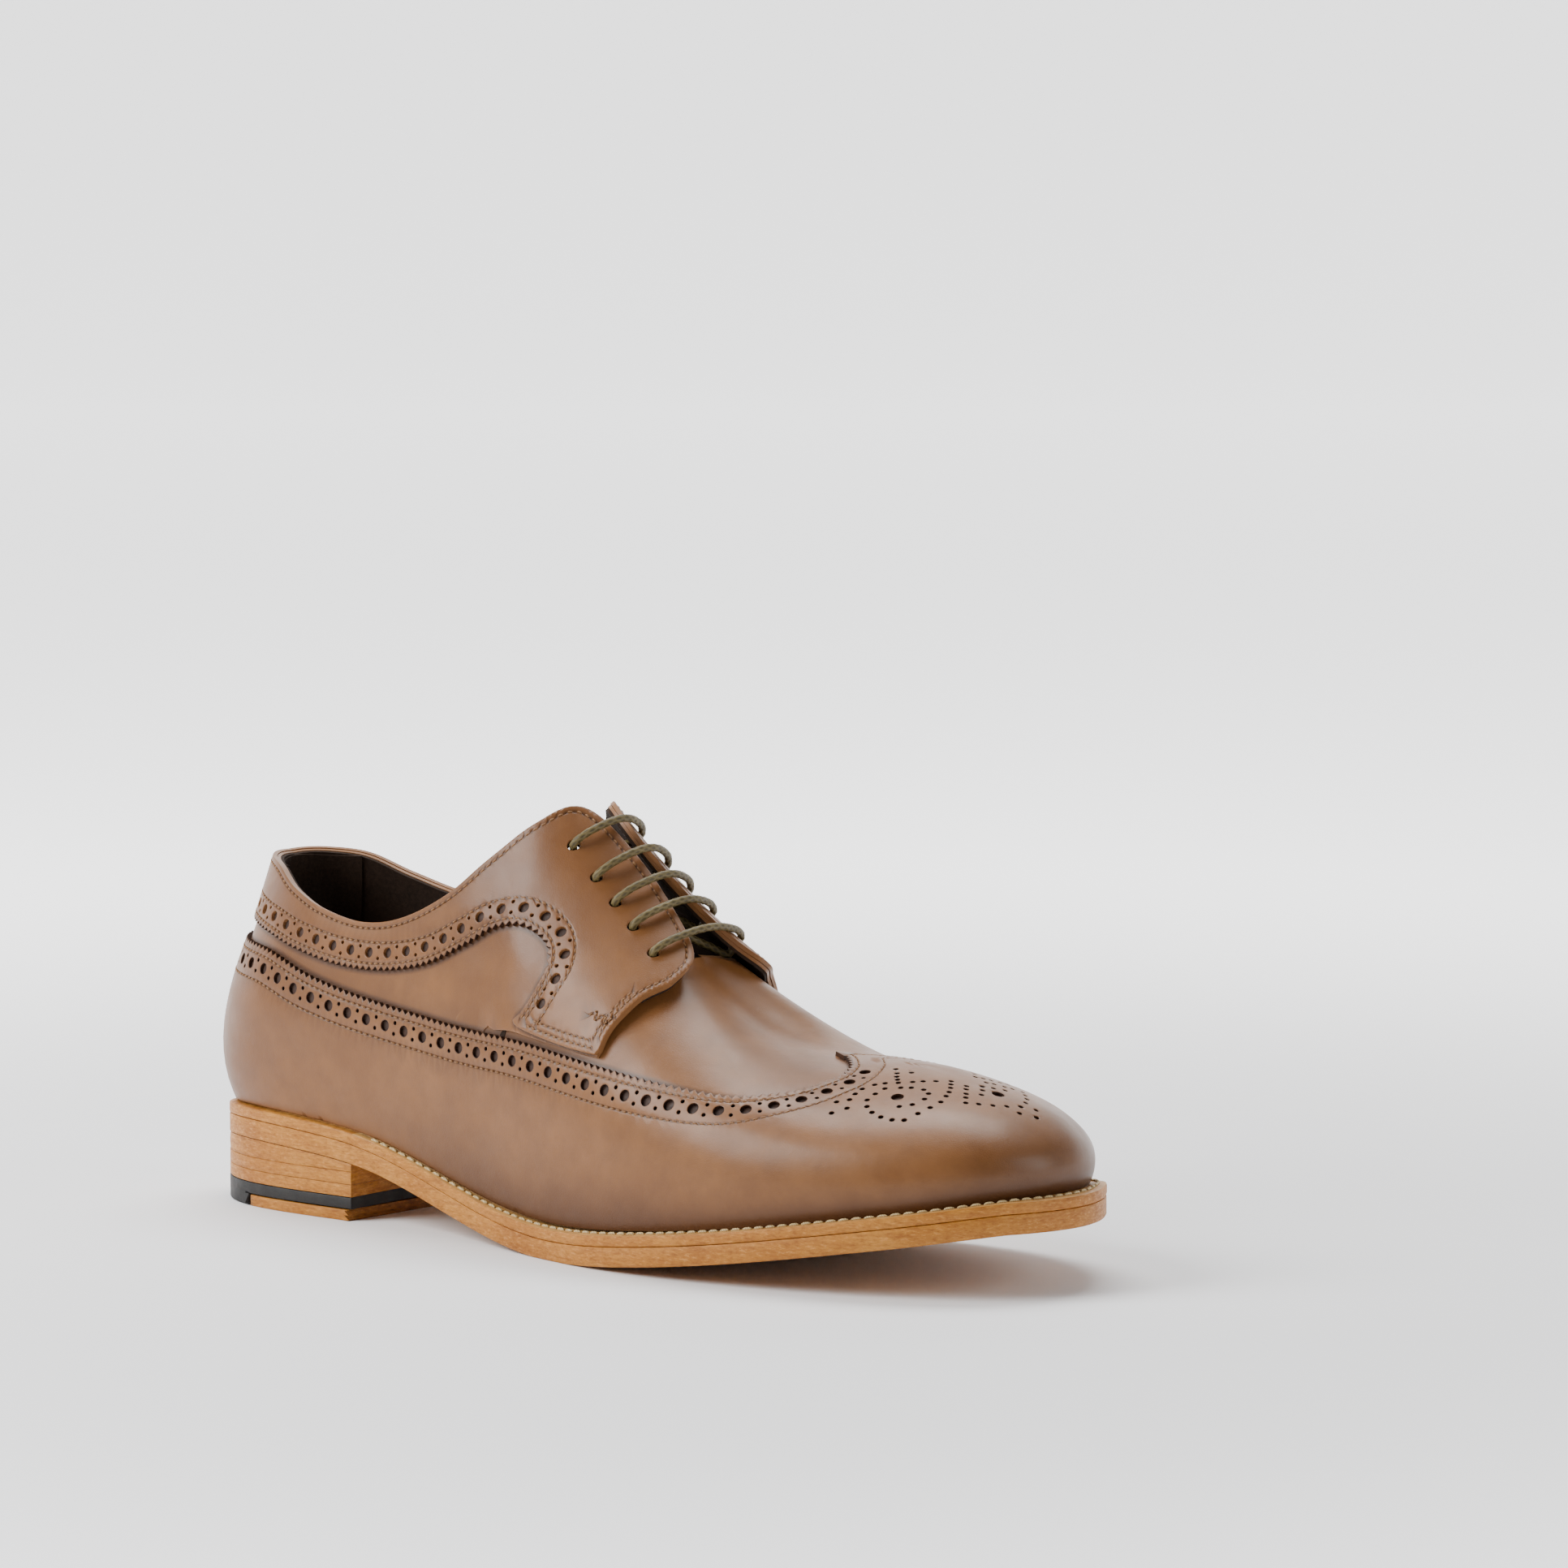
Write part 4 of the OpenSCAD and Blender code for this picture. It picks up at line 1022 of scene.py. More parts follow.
# painted shadow on the leather just outside the wing's toothed edge, with a 0.1 mm dip
shade_w = resample(offset(resample(wing_line, step=1.0), 0.75), step=1.1)
shade_w = shade_w[(shade_w[:, 1] < 0.99) & (shade_w[:, 0] > 0.02)]
SHADE_W = [(shade_w, 0.1, 1.35, None), (over(shade_w), 0.1, 1.35, None)]
vamp = sheet("vamp_leather", vamp_outline, CALF, vamp_out, 1.0, step=3.6, grooves=SHADE_W, replaces=("vamp",), burnish_and_shade=burnish_and_shade_map)

# ---- quarters and facings
low = along(FACING_LOW, np.linspace(0, 17, 900))
k14 = int(np.argmin(np.abs(low[:, 1] - 0.412) + (np.abs(low[:, 0] - 5.7) > 0.05) * 9))
band_line, foot_line = low[:k14 + 1], low[k14:]
fade = lambda p: np.clip(np.where(p[:, 0] > 5.8, (p[:, 1] - 0.585) / 0.05, 1.0), 0, 1) * np.where((p[:, 0] > 5.6) & (p[:, 1] < 0.6), 0, 1)
g_low = np.concatenate([gimp(band_line, 2.4, 1.15, fade, left=False), resample(foot_line, step=1.6)[1:]])
top_line = resample(flap_line, step=1.5)
facing_outline = np.concatenate([g_low, top_line[::-1]])
quarter_low_line = resample(smooth([[0, 0.39], [1.2, 0.39], [2.1, 0.37], [2.8, 0.33], [3.3, 0.06], [4, 0.06], [4.5, 0.06], [4.9, 0.06], [5.15, 0.06], [5.31, 0.325],
                                    [5.46, 0.358], [5.62, 0.382], [5.75, 0.395], [5.88, 0.407], [6.02, 0.42], [6.2, 0.437], [6.4, 0.455], [6.57, 0.474]], 800), step=1.8)
inset_top = offset(top_line, -0.25)
quarter_outline = np.concatenate([quarter_low_line, inset_top[::-1]])


def shoe_rows():
    R = []
    b = resample(band_line, step=0.9)
    b = b[~((b[:, 0] > 5.5) & (b[:, 1] < 0.432))]
    f = resample(foot_line, step=0.9)
    f = f[f[:, 0] > 5.8]
    def above(c, d):
        q = plane(offset(f, d))
        p = plane(c)
        keep = np.ones(len(c), bool)
        for i in np.where((c[:, 0] > 5.2) & (c[:, 1] < 0.55))[0]:
            keep[i] = p[i, 1] > np.interp(p[i, 0], q[:, 0], q[:, 1])
        return c[keep]
    for d in (1.4, 7.3):
        r = offset(b, d)
        R.append(above(r[r[:, 0] > 0.03], 1.7))
    r3 = offset(b[(b[:, 0] > 5.7) & (b[:, 1] < 0.6)], 2.8)
    R.append(above(r3, 1.9))
    R.append(offset(f, 1.5)[:-2])
    R.append(offset(f, 3.4)[2:-4])
    t = resample(flap_line, step=0.9)
    t1 = offset(t, -1.7)
    R.append(t1[t1[:, 0] > 0.03][:-3])
    fr_ = part_of(FLAP_TOP, 15.0, 16.5, 200)
    R.append(offset(resample(fr_, step=0.9), -3.2))
    return R


rows_f = [r for r in shoe_rows() if len(r) > 4]
eye = [circle(p, 1.7, 18) for p in EYELETS]
eye_in = [circle(p, 1.8, 14) for p in EYELETS]
band_f = offset(resample(band_line, step=0.9), 4.5)
band_f = band_f[(band_f[:, 0] > 0.02)]
stop = np.where((band_f[:, 0] > 5.6) & (band_f[:, 1] < 0.47))[0]
band_f = band_f[:stop[0]] if len(stop) else band_f
zz = np.array([[6.43, 0.573], [6.5, 0.6], [6.5, 0.57], [6.58, 0.605], [6.59, 0.575], [6.68, 0.618], [6.7, 0.597]])
for side, flipf in (("lateral", lambda c: c), ("medial", over)):
    fl = (lambda c: c) if side == "lateral" else (lambda c: over(c))
    d0 = len(DISCS)
    hf = punch_row(band_f, f_off, 7.3, 3.1, 1.15, ends=(0.5, 0.4))
    if side == "medial":
        DISCS[d0:] = [(np.array([q[0], 2 - q[1]]), r, o) for q, r, o in DISCS[d0:]]
        hf = [over(h) for h in hf]
    gr = [row(fl(r), f_off) for r in rows_f]
    zl = np.concatenate([np.linspace(a, b, 6, endpoint=False) for a, b in zip(zz[:-1], zz[1:])])
    gr.append(row(fl(zl), f_off, pitch=1.5, r=0.22, sink=0.1))
    out = facing_outline if side == "lateral" else over(facing_outline)[::-1]
    # facing edges near the gimped band take the darker edge colour: partly edge burnish, partly painted shade between
    # the teeth
    gimped = tree_of(plane(fl(band_line[::3])))
    dark_edge_weight = lambda c: np.array([max(0.0, min(1.0, 2.2 - gimped.find((float(a), float(b_), 0.0))[2])) for a, b_ in plane(c)])
    fo = sheet("facing_leather_" + side, out, CALF, f_off, 1.3, holes=hf + [fl(h) for h in eye], grooves=gr,
               replaces=("facing_" + side,), burnish_and_shade=burnish_and_shade_map, dark_edge_weight=dark_edge_weight)
    qo = quarter_outline if side == "lateral" else over(quarter_outline)[::-1]
    sb = offset(resample(band_line, step=1.0), -0.75)
    sb = resample(sb[sb[:, 0] > 0.02], step=1.1)
    # painted shadow on the quarter just outside the facing's toothed edge and foot line, and outside the wing's edge
    sh = [(fl(sb), 0.1, 1.35, None), (fl(resample(offset(resample(foot_line, step=1.0), -0.3)[1:-1], step=1.1)), 0.1, 0.9, None), SHADE_W[0 if side == "lateral" else 1]]
    sheet("quarter_leather_" + side, qo, CALF, q_off, 1.1, holes=[fl(h) for h in eye_in], step=3.4, grooves=sh,
          replaces=("quarter_" + side,), burnish_and_shade=burnish_and_shade_map)
    # one lining a side, cut to the topline
    top_in_ = offset(top_line, -0.45)
    inner_low = resample(smooth([[0, 0.04], [2, 0.04], [4, 0.04], [5.2, 0.04], [5.5, 0.3], [5.7, 0.5], [6.1, 0.6], [6.55, 0.66], [6.85, 0.715]], 400), step=3)
    k = np.argmin(np.linalg.norm(plane(top_in_) - plane(np.array([[6.85, 0.715]]))[0], axis=1))
    lo_ = np.concatenate([inner_low[:-1], top_in_[:k + 1][::-1]])
    lo_ = lo_ if side == "lateral" else over(lo_)[::-1]
    l_off = lambda u, w: q_off(u, w) - 1.13
    sheet("collar_lining_" + side, lo_, LINING, l_off, 0.95, holes=[fl(h) for h in eye_in], step=3.6,
          replaces=("quarter_lining_" + side, "facing_lining_" + side), edge_drop=0.05)
# dark discs under every hole: partly polish in the holes, partly painted shade
disc_mesh("punch_polish_and_shade", DISCS, PUNCH_POLISH_AND_SHADE, 1.12)
thread_mesh("upper_stitching", THREADS, THREAD)
print("upper done", len(DISCS), "punches", sum(len(t[0]) for t in THREADS), "stitches")

# ---------------------------------------------------------------- the sole
def brim(u, d):
    u = np.atleast_1d(np.asarray(u, float)) % 24
    a = surf(u, np.zeros(len(u)))[0]
    b = surf((u + 0.02) % 24, np.zeros(len(u)))[0] - surf((u - 0.02) % 24, np.zeros(len(u)))[0]
    n = np.stack([b[:, 1], -b[:, 0]], -1)
    n /= np.linalg.norm(n, axis=1, keepdims=True)
    return a[:, :2] + np.reshape(d, (-1, 1)) * n, a[:, 2]


def edge_of(u):
    v = np.where(np.asarray(u) % 24 > 12, 24 - np.asarray(u) % 24, np.asarray(u) % 24)
    return along(np.array(EDGE_OUT)[:, None], v)[:, 0]


_fu = np.linspace(0, 12, 481)
_fp = surf(_fu, np.zeros(481))[0]


def feather_at(x):
    return np.interp(x, _fp[:, 0], _fp[:, 2])


def strip_solid(name, rings, mat, tris, painted_shade=None, replaces=(), body="shoe", closed=True):
    """a slab: rings are (loop xyz) from the top's rim down to the bottom's rim; tris close its top and bottom"""
    n = len(rings[0])
    V = np.concatenate(rings)
    F = []
    m = n if closed else n - 1
    for r in range(len(rings) - 1):
        i = np.arange(m)
        a, b = r * n + i, r * n + (i + 1) % n
        F += np.stack([a, b, b + n, a + n], -1)[:, ::-1].tolist()
    base = len(V)
    extra, at = [], {}
    for verts, faces in tris:
        F += (np.asarray(faces) + base).tolist()
        extra.append(verts)
        base += len(verts)
    V = np.concatenate([V] + extra)
    # per-ring weights of painted shade
    g = np.zeros(len(V))
    if painted_shade is not None:
        for r, v in painted_shade.items():
            g[r * n:(r + 1) * n] = v
    ob = collect(name, V, F, mat, body=body, attrs=dict(painted_shade=g))
    me = ob.data
    me.shade_smooth()
    for e_name in ():
        pass
    import bmesh
    bm = bmesh.new()
    bm.from_mesh(me)
    bmesh.ops.remove_doubles(bm, verts=bm.verts, dist=2e-6)
    bmesh.ops.recalc_face_normals(bm, faces=bm.faces)
    for e in bm.edges:
        e.smooth = not (len(e.link_faces) == 2 and e.calc_face_angle(0) > math.radians(38))
    bm.to_mesh(me)
    bm.free()
    if replaces:
        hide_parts(*replaces)
    return ob


def fill(loops, z, up, step=6.0):
    """flat cap between closed ground loops, raised to z(x, y)"""
    pts, E, b = [], [], 0
    for l in loops:
        n = len(l)
        pts.append(l)
        E += [(b + j, b + (j + 1) % n) for j in range(n)]
        b += n
    lo, hi = loops[0].min(0), loops[0].max(0)
    G = np.stack(np.meshgrid(np.arange(lo[0], hi[0], step), np.arange(lo[1], hi[1], step), indexing='ij'), -1).reshape(-1, 2)
    ok = inside(loops[0], G)
    for l in loops[1:]:
        ok &= ~inside(l, G)
    G = G[ok]
    G = G[~near(G, np.concatenate(loops), step * 0.4)]
    A = np.concatenate(pts + [G])
    res = delaunay_2d_cdt([Vector((float(a), float(c))) for a, c in A], E, [], 1, 1e-5)
    v = np.array([(p.x, p.y) for p in res[0]])
    F = np.array([f for f in res[2] if len(f) == 3], int)
    c = v[F].mean(1)
    ok = inside(loops[0], c)
    for l in loops[1:]:
        ok &= ~inside(l, c)
    F = F[ok]
    a = np.cross(v[F[:, 1]] - v[F[:, 0]], v[F[:, 2]] - v[F[:, 0]])
    F[(a < 0) == up] = F[(a < 0) == up][:, ::-1]
    V = np.column_stack([v, z(v[:, 0], v[:, 1])])
    return V, F


N_OUT = 420
LOOP_U = np.linspace(0, 24, N_OUT, endpoint=False)
# even steps along the rim
_q = brim(np.linspace(0, 24, 1921), 5.0)[0]
_l = np.concatenate([[0], np.cumsum(np.linalg.norm(np.diff(_q, axis=0), axis=1))])
LOOP_U = np.interp(np.linspace(0, _l[-1], N_OUT, endpoint=False), _l, np.linspace(0, 24, 1921))


def rim(d, u=None):
    u = LOOP_U if u is None else u
    return brim(u, edge_of(u) + d)[0]


def follow(loop, dz):
    return np.column_stack([loop, feather_at(loop[:, 0]) + dz])


BREAST = 33.0


def clip_heel(d, x1, front=True):
    """the heel's outline back of x1, closed by a straight or slightly hollow breast"""
    u = LOOP_U
    l = rim(d)
    k = np.where(l[:, 0] < x1)[0]
    # start on the inner side, go round the back
    order = k[np.argsort(((u[k] + 12) % 24))]
    p = l[order]
    def end(a, b):
        t = (x1 - a[0]) / (b[0] - a[0])
        return a + t * (b - a)
    a_prev = l[(order[0] - 1) % N_OUT]
    b_next = l[(order[-1] + 1) % N_OUT]
    e0, e1 = end(p[0], a_prev), end(p[-1], b_next)
    y = np.linspace(e1[1], e0[1], 26)
    hollow = (1.1 if front else 0) * (1 - ((y - (e0[1] + e1[1]) / 2) / (abs(e1[1] - e0[1]) / 2)) ** 2)
    breast = np.column_stack([np.full(26, x1) - hollow, y])
    return np.concatenate([p, breast])


def slab(name, loops_of, z_top, z_bot, mat, replaces, soft=0.45, rows=3, inner=None, bulge=0.0, bottom=True, top=True):
    """solid slab whose edge is slightly rounded; loops_of(d) gives its outline moved in by -d"""
    rings, g = [], {}
    prof = [(-soft, 0.0), (-soft * 0.3, 0.12), (0, 0.42)]
    zt = lambda l: np.column_stack([l, z_top(l[:, 0])])
    hgt = float(np.mean(z_top(np.array([0.0, 100.0])) - z_bot(np.array([0.0, 100.0]))))
    def lerp(l, f):
        return np.column_stack([l, z_top(l[:, 0]) * (1 - f) + z_bot(l[:, 0]) * f])
    fr_ = min(0.42, soft / max(hgt, 0.1))
    steps = [(-soft, 0.0), (-soft * 0.3, fr_ * 0.3), (0.0, fr_), (bulge, 0.5), (0.0, 1 - fr_), (-soft * 0.3, 1 - fr_ * 0.3), (-soft, 1.0)]
    for d, f in steps:
        rings.append(lerp(loops_of(d), f))
    tl_ = loops_of(-soft)
    tris = []
    if inner is not None:
        inn = inner
        Vt, Ft = fill([tl_, inn], lambda x, y: z_top(x), True)
        Vb, Fb = fill([tl_, inn], lambda x, y: z_bot(x), False)
        tris = [(Vt, Ft), (Vb, Fb)]
        n = len(inn)
        a = np.column_stack([inn, z_top(inn[:, 0])])
        b = np.column_stack([inn, z_bot(inn[:, 0])])
        i = np.arange(n)
        tris.append((np.concatenate([a, b]), np.stack([i, (i + 1) % n, n + (i + 1) % n, n + i], -1)))
    else:
        tris = [fill([tl_], lambda x, y: z_top(x), True), fill([tl_], lambda x, y: z_bot(x), False)]
    # painted shade on the top and bottom rim rings, in the crease where stacked layers meet
    return strip_solid(name, rings, mat, tris, replaces=replaces, painted_shade={0: 0.25, 6: 0.35})


fz = lambda dz: (lambda x: feather_at(x) + dz)
flat = lambda z: (lambda x: np.full(np.shape(x), float(z)))
inner_u = LOOP_U[::2]


def ring_piece(name, x0, x1, mat, replaces, dz0, dz1, inset=0.0):
    """the welt or the rand: a strip round the feather, from x0 to x1"""
    u = LOOP_U
    e = edge_of(u)
    base = brim(u, 0)[0]
    keep = (base[:, 0] >= x0) & (base[:, 0] <= x1)
    if x0 < -50:
        idx = np.where(keep)[0]
        idx = idx[np.argsort((u[idx] + 12) % 24)]
        closed = False
    else:
        idx = np.where(keep)[0]
        idx = idx[np.argsort(u[idx])]
        closed = False
    uu = u[idx]
    prof = [(-4.4, 0, 0), (0.0, 0, 0), (0.45, 0.0, 0), (0.86, 0.0, 0), (0.965, 0.06, 0), (1.0, 0.24, 0), (1.0, 0.8, 0), (0.975, 0.96, 0), (0.95, 1.0, 0), (-4.4, 1.0, 0)]
    V = []
    m = len(prof)
    for d, f, _ in prof:
        dd = np.where(d < 0, d, d * edge_of(uu) - inset)
        l = brim(uu, dd)[0]
        V.append(np.column_stack([l, feather_at(l[:, 0]) + dz0 * (1 - f) + dz1 * f]))
    n = len(uu)
    V = np.concatenate(V)
    F = []
    i = np.arange(n - 1)
    for r in range(m):
        s = (r + 1) % m
        F += np.stack([r * n + i, r * n + i + 1, s * n + i + 1, s * n + i], -1).tolist()
    F.append([r * n for r in range(m)])
    F.append([r * n + n - 1 for r in range(m)][::-1])
    g = np.zeros(len(V))
    ob = collect(name, V, F, [mat, SOLE], attrs=dict(painted_shade=g))
    for k, f in enumerate(ob.data.polygons):
        f.material_index = 0 if k // (n - 1) < 4 else 1
    import bmesh
    bm = bmesh.new()
    bm.from_mesh(ob.data)
    bmesh.ops.recalc_face_normals(bm, faces=bm.faces)
    for e_ in bm.edges:
        e_.smooth = not (len(e_.link_faces) == 2 and e_.calc_face_angle(0) > math.radians(50))
    bm.to_mesh(ob.data)
    bm.free()
    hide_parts(*replaces)
    return ob


ring_piece("welt_strip", 32.4, 400, WELT, ("welt",), -0.3, -3.5)
ring_piece("rand_strip", -60, 38, SOLE, ("heel_rand",), -0.34, -3.46, inset=0.05)
SOLE_LO = -9.2
slab("sole_edge", lambda d: rim(d - 0.1), fz(-3.6), lambda x: np.maximum(feather_at(x) + SOLE_LO, 0.0), SOLE, ("outsole",), soft=0.5)
back = lambda d: clip_heel(d - 0.15, BREAST)
lower_z, middle_z, seat_z = 7.1, 10.7, 14.3
slab("heel_seat", back, lambda x: feather_at(x) - 9.3, flat(seat_z - 0.18), LIFT, ("heel_seat_lift",), soft=0.22)
slab("heel_lift_middle", back, flat(14.06), flat(middle_z - 0.2), LIFT, ("heel_middle_lift",), soft=0.22)
slab("heel_lift_lower", back, flat(10.44), flat(lower_z - 0.2), LIFT, ("heel_lower_lift",), soft=0.22)


def rubber_outline(d):
    return clip_heel(d - 0.1, BREAST)


# rubber top piece: full height behind the inlay, a layer above it
slab("rubber_back", lambda d: clip_heel(d - 0.1, -9.3 + min(d, 0), front=False), flat(6.8), flat(0.0), RUBBER, ("heel_rubber_top_piece",), soft=0.5)


def mid_block(d):
    l = rim(d - 0.1)
    lat = l[(LOOP_U > 0) & (LOOP_U < 12) & (l[:, 0] > -9.3) & (l[:, 0] < BREAST)]
    medl = l[(LOOP_U > 12) & (l[:, 0] > -9.3) & (l[:, 0] < BREAST)]
    return np.concatenate([lat, medl])


slab("rubber_front", lambda d: clip_heel(d - 0.1, BREAST), flat(6.8), flat(3.5), RUBBER, (), soft=0.4)
slab("inlay_leather", mid_block, flat(3.2), flat(0.02), LIFT, ("heel_leather_inlay",), soft=0.3)

# ---- welt stitches
def stitch_track(u0, u1, pitch):
    u = np.linspace(u0, u1, 900)
    p, z = brim(u, edge_of(u) * 0.62)
    L = np.concatenate([[0], np.cumsum(np.linalg.norm(np.diff(p, axis=0), axis=1))])
    n = int(L[-1] / pitch)
    s = np.linspace(0, L[-1], 2 * n + 1)
    x, y = np.interp(s, L, p[:, 0]), np.interp(s, L, p[:, 1])
    P = np.column_stack([x, y, feather_at(x) - 0.3])
    a, b = P[0:-1:2], P[2::2]
    T = b - a
    Lh = np.linalg.norm(T, axis=1)
    T /= Lh[:, None]
    N = np.tile([0, 0, 1.0], (n, 1))
    N -= (N * T).sum(1, keepdims=True) * T
    N /= np.linalg.norm(N, axis=1, keepdims=True)
    return P[1::2] + N * 0.22, T, N, Lh * 0.44, np.full(n, 0.48)


thread_mesh("welt_thread", [stitch_track(3.95, 20.05, 3.6)], CREAM, ("welt_stitching",))

# ---------------------------------------------------------------- tongue
TL = [[137.5, 72.5], [129, 77.5], [120, 81.5], [110, 85], [100, 88.5], [90, 91.5], [80, 94.5]]
TH = [14, 17, 18, 18, 18, 17.5, 16]


def tongue_grid(o, ni=60, nj=40):
    t = np.linspace(0, 1, ni + 1)
    c = along(TL, t * 6)
    h = along(np.array(TH)[:, None], t * 6)[:, 0]
    d = along(TL, np.minimum(1, t + 0.02) * 6) - along(TL, np.maximum(t - 0.02, 0) * 6)
    d /= np.linalg.norm(d, axis=1, keepdims=True)
    v = np.linspace(1, -1, nj + 1)
    T, Vv = np.meshgrid(t, v, indexing='ij')
    C, H, D = c[:, None], h[:, None], d[:, None]
    y = Vv * H
    return np.stack([C[..., 0] + D[..., 1] * o + 0 * Vv, -1 + y * (1 - 0.25 * T ** 8), C[..., 1] - 0.016 * y ** 2 - D[..., 0] * o], -1)


def tongue_piece(name, o1, o2, mat, node):
    A, B2 = tongue_grid(o1), tongue_grid(o2)
    ni, nj = A.shape[0], A.shape[1]
    V = np.concatenate([A.reshape(-1, 3), B2.reshape(-1, 3)])
    n = ni * nj
    i, j = np.meshgrid(np.arange(ni - 1), np.arange(nj - 1), indexing='ij')
    a = (i * nj + j).ravel()
    F = np.stack([a, a + 1, a + nj + 1, a + nj], -1).tolist() + np.stack([n + a, n + a + nj, n + a + nj + 1, n + a + 1], -1).tolist()
    ring = [k for k in range(nj)] + [k * nj + nj - 1 for k in range(1, ni)] + [(ni - 1) * nj + k for k in range(nj - 2, -1, -1)] + [k * nj for k in range(ni - 2, 0, -1)]
    r = np.array(ring)
    r2 = np.roll(r, -1)
    F += np.stack([r, n + r, n + r2, r2], -1).tolist()
    import bmesh
    # a constant burnish weight of 0.3 over the whole tongue: painted shade
    ob = collect(name, V, F, mat, body="tongue", attrs=dict(painted_shade=np.zeros(len(V)), cut=np.zeros(len(V)), burnish_and_shade=np.full(len(V), 0.3)))
    bm = bmesh.new()
    bm.from_mesh(ob.data)
    bmesh.ops.recalc_face_normals(bm, faces=bm.faces)
    for e_ in bm.edges:
        e_.smooth = not (len(e_.link_faces) == 2 and e_.calc_face_angle(0) > math.radians(50))
    bm.to_mesh(ob.data)
    bm.free()
    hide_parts(node)
    return ob


# the tongue's outer face takes the darker calf copy: painted shade
tongue_piece("tongue_leather", 1.1, 0.0, CALF_PAINTED_SHADE, "tongue")
tongue_piece("tongue_backing", -0.3, -1.15, LINING, "tongue_lining")

# ---------------------------------------------------------------- lace
def place_cad(u, w, o):
    P, N, _, _ = surf(np.array([u]), np.array([w]))
    return (P + N * o)[0]


def cad_q(u, w):
    v = 24 - u if u > 12 else u
    return float(-0.15 + 1.4 * ease(np.array((v - 5.2) / 0.4)) + ease(np.array(v - 4.2)) * (ease(np.array((w - 0.5) / 0.12)) + FLAP_LIFT * max(0, (w - 0.5) / 0.5) ** 3))


def lace_hole(i, side, o):
    e = EYELETS[i]
    u, w = (e[0], e[1]) if side > 0 else (24 - e[0], e[1])
    return place_cad(u, w, cad_q(u, w) + o)


OUT_O, IN_O, RISE = 1.4, -1.1 - 0.3 - 0.36 - 0.85, 8.2
BAR_SHARE = [0.68, 0.8, 0.91, 1, 0.9]
BAR_WAY = np.array([0.66, 0, 0.75]) / math.hypot(0.66, 0.75)


def lace_bar(i):
    a, b = lace_hole(i, 1, OUT_O + 1.5), lace_hole(i, -1, OUT_O + 1.5)
    return ([lace_hole(i, 1, IN_O - 1.6), lace_hole(i, 1, IN_O / 2), lace_hole(i, 1, OUT_O + 0.6)] +
            [a * (1 - f) + b * f + RISE * BAR_SHARE[i] * math.sin(math.pi * f) ** 0.85 * BAR_WAY for f in (0.1, 0.22, 0.36, 0.5, 0.64, 0.78, 0.9)] +
            [lace_hole(i, -1, OUT_O + 0.6), lace_hole(i, -1, IN_O / 2), lace_hole(i, -1, IN_O - 1.6)])


def lace_under(i):
    a, b = lace_hole(i, -1, IN_O - 2.4), lace_hole(i + 1, 1, IN_O - 2.4)
    return [a * (1 - f) + b * f + np.array([0, 0, 4 * math.sin(math.pi * f)]) for f in (0.2, 0.5, 0.8)]


LT = [place_cad(u, w, -d) for u, w, d in [(6.5, 0.76, 5.5), (6.1, 0.7, 5.5), (5.7, 0.64, 5.5), (5.3, 0.58, 5.5), (4.9, 0.52, 5.5), (4.5, 0.46, 5.5), (4.1, 0.42, 5.5)]]
MT = [place_cad(24 - u, w, -d) for u, w, d in [(5.75, 0.78, 5), (5.6, 0.69, 4.4), (5.4, 0.61, 4.8), (5.1, 0.54, 5.5), (4.75, 0.49, 5.5), (4.4, 0.45, 5.5), (4.05, 0.42, 5.5)]]
KNOTS = np.array(LT[::-1] + lace_bar(0) + lace_under(0) + lace_bar(1) + lace_under(1) + lace_bar(2) + lace_under(2) + lace_bar(3) + lace_under(3) + lace_bar(4) + MT)
dense = along(KNOTS, np.linspace(0, len(KNOTS) - 1, 8000))
LL = np.concatenate([[0], np.cumsum(np.linalg.norm(np.diff(dense, axis=0), axis=1))])
LACE_LENGTH = LL[-1]
print("lace length mm", round(float(LACE_LENGTH), 1))
s = np.arange(0, LL[-1], 0.36)
path = np.stack([np.interp(s, LL, dense[:, k]) for k in range(3)], -1)


def tube(name, path, radius, m, mat, braid=None, replaces=(), extra=None):
    n = len(path)
    T = np.gradient(path, axis=0)
    T /= np.linalg.norm(T, axis=1, keepdims=True)
    X = np.zeros_like(T)
    x = np.cross(T[0], [0, 0, 1.0])
    if np.linalg.norm(x) < 0.1:
        x = np.cross(T[0], [1.0, 0, 0])
    x /= np.linalg.norm(x)
    for i in range(n):
        x = x - (x @ T[i]) * T[i]
        x /= np.linalg.norm(x)
        X[i] = x
    Y = np.cross(T, X)
    a = 2 * np.pi * np.arange(m) / m
    st = np.concatenate([[0], np.cumsum(np.linalg.norm(np.diff(path, axis=0), axis=1))])
    r = np.full((n, m), float(radius))
    g = np.zeros((n, m))
    if braid:
        strands, pitch, depth = braid
        p1 = np.sin(strands * a[None, :] + 2 * np.pi * st[:, None] / pitch)
        p2 = np.sin(strands * a[None, :] - 2 * np.pi * st[:, None] / pitch)
        h = np.maximum(p1, p2)
        r = radius * (1 - depth + depth * h)
        # painted shade in the valleys between the braid strands
        g = np.clip(0.55 - h, 0, 1)
    V = path[:, None] + r[..., None] * (np.cos(a)[None, :, None] * X[:, None] + np.sin(a)[None, :, None] * Y[:, None])
    V = V.reshape(-1, 3)
    i, j = np.meshgrid(np.arange(n - 1), np.arange(m), indexing='ij')
    i, j = i.ravel(), j.ravel()
    F = np.stack([i * m + j, i * m + (j + 1) % m, (i + 1) * m + (j + 1) % m, (i + 1) * m + j], -1).tolist()
    F.append(list(range(m))[::-1])
    F.append([(n - 1) * m + q for q in range(m)])
    ob = collect(name, V, F, mat, attrs=dict(painted_shade=g.ravel(), cut=np.zeros(n * m), burnish_and_shade=np.zeros(n * m)))
    if replaces:
        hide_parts(*replaces)
    return ob


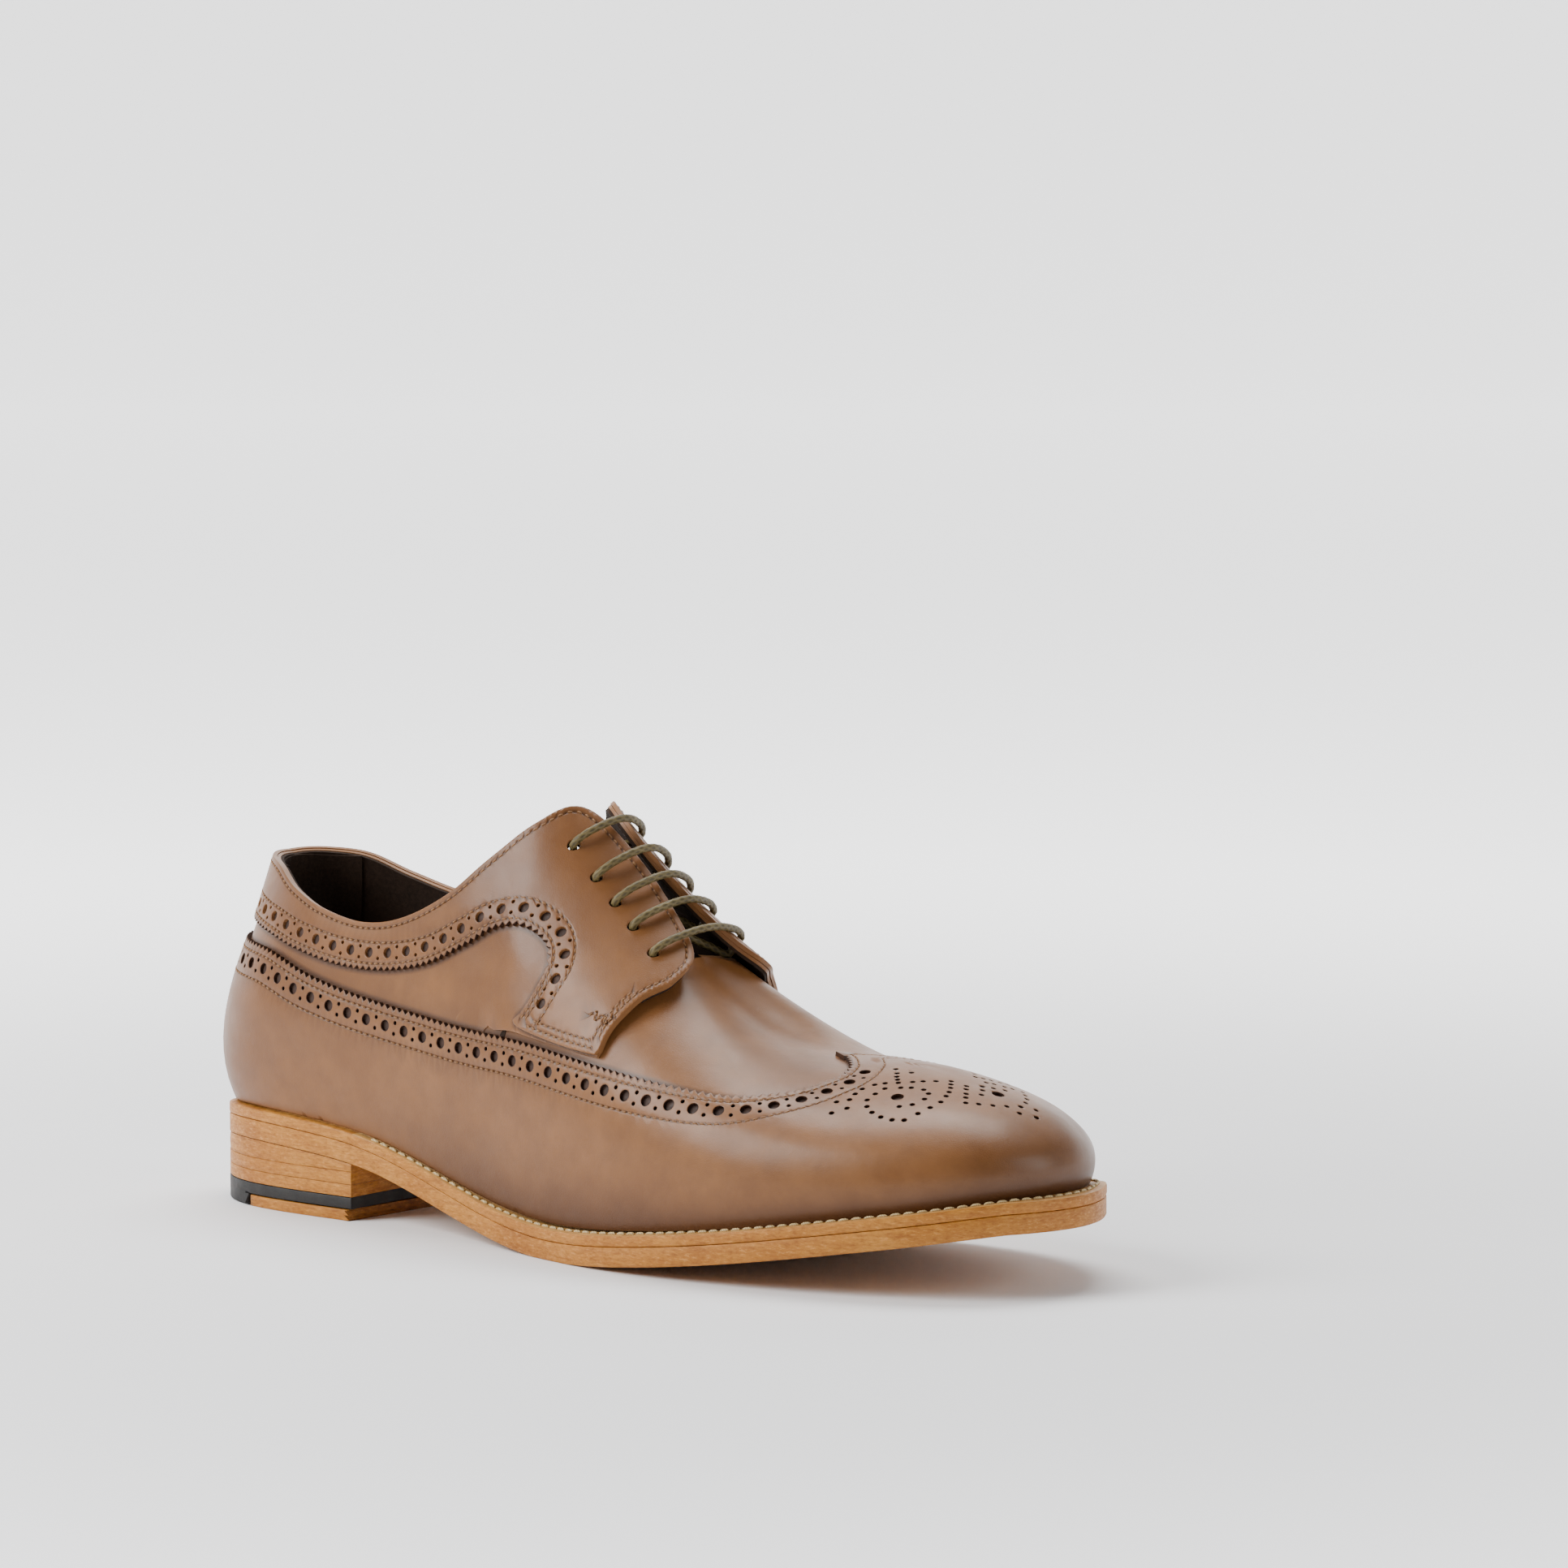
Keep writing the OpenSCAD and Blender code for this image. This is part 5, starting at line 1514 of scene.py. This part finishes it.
tube("lace_braid", path, 1.12, 16, LACE, braid=(4, 3.0, 0.085), replaces=("lace",))

# ---------------------------------------------------------------- CAD nodes that stay, with their materials
for node, mat in dict(heel_grip=LINING, vamp_lining=LINING, heel_stiffener=BOARD, toe_puff=BOARD, insock=INSOCK, insole=BOARD,
                      insole_rib=BOARD, cork_filler=CORK, shank=STEEL, heel_nails=BRASS, lace_tips=TIP).items():
    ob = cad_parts[node]
    ob.data.materials.clear()
    ob.data.materials.append(mat)

# ---------------------------------------------------------------- stage
def stage_mesh(name, V, F, mat):
    me = bpy.data.meshes.new(name)
    me.from_pydata(V, [], F)
    ob = bpy.data.objects.new(name, me)
    bpy.context.scene.collection.objects.link(ob)
    me.materials.append(mat)
    for p in me.polygons:
        p.use_smooth = True
    return ob


fl = Nodes("floor_pale")
floor_mat = fl.set(fl.mix(fl.grey(fl.noise(1.5, 2), 0, 0.15), rgb(246, 246, 247), rgb(240, 240, 242)), 0.85, None, Specular_IOR_Level=0.1)
# the floor glows a little away from the shoe, as a lit white sweep does
nt_ = floor_mat.node_tree
tc_, ln_, mr_ = (nt_.nodes.new(k) for k in ("ShaderNodeTexCoord", "ShaderNodeVectorMath", "ShaderNodeMapRange"))
ln_.operation = "DISTANCE"
ln_.inputs[1].default_value = (0.11, 0.0, 0.0)
mr_.interpolation_type = "SMOOTHSTEP"
for k_, v_ in (("From Min", 0.22), ("From Max", 0.9), ("To Min", 0.0), ("To Max", 1.6)):
    mr_.inputs[k_].default_value = v_
nt_.links.new(tc_.outputs["Object"], ln_.inputs[0])
nt_.links.new(ln_.outputs["Value"], mr_.inputs["Value"])
bsdf_ = next(n_ for n_ in nt_.nodes if n_.type == "BSDF_PRINCIPLED")
bsdf_.inputs["Emission Color"].default_value = (1, 1, 1, 1)
nt_.links.new(mr_.outputs["Result"], bsdf_.inputs["Emission Strength"])
S, CURVE, WALL = 3.2, 1.2, 3.0
# floor that sweeps up behind the object, along the camera's line of sight
side_v, away = Vector((R_.x, R_.y, 0)), Vector((-B_.x, -B_.y, 0)).normalized()
prof = [(-10.0, 0.0), (S, 0.0)] + [(S + CURVE * math.sin(a), CURVE * (1 - math.cos(a))) for a in np.linspace(0.05, math.pi / 2, 24)] + [(S + CURVE, WALL)]
sv = []
for d, z in prof:
    for q in (-10.0, 10.0):
        p_ = Vector((0.11, 0, 0)) + away * d + side_v * q
        sv.append((p_.x, p_.y, z))
stage_mesh("floor", sv, [(2 * k, 2 * k + 1, 2 * k + 3, 2 * k + 2) for k in range(len(prof) - 1)], floor_mat)

world = bpy.data.worlds.new("studio")
bpy.context.scene.world = world
world.use_nodes = True
bg = world.node_tree.nodes["Background"]
bg.inputs["Color"].default_value = (1, 1, 1, 1)
bg.inputs["Strength"].default_value = 0.22


def area(name, pos, size, power, target=(0.11, 0, 0.05), color=(1, 1, 1)):
    l = bpy.data.lights.new(name, "AREA")
    l.shape = "RECTANGLE"
    l.size, l.size_y = size
    l.energy = power
    l.color = color
    ob = bpy.data.objects.new(name, l)
    bpy.context.scene.collection.objects.link(ob)
    ob.location = pos
    ob.rotation_mode = "QUATERNION"
    ob.rotation_quaternion = (Vector(pos) - Vector(target)).to_track_quat("Z", "Y")
    return ob


ctr = Vector((0.11, 0, 0.05))
view_r, view_b = R_, B_
area("key", tuple(ctr + view_r * -1.0 + view_b * 0.3 + Vector((0, 0, 0.75))), (0.7, 0.9), 24)
area("top", tuple(ctr + Vector((0, 0, 1.3)) - view_b * 0.5), (1.1, 0.5), 20)
area("fill", tuple(ctr + view_r * 1.2 + view_b * 0.5 + Vector((0, 0, 0.4))), (0.4, 0.8), 5)
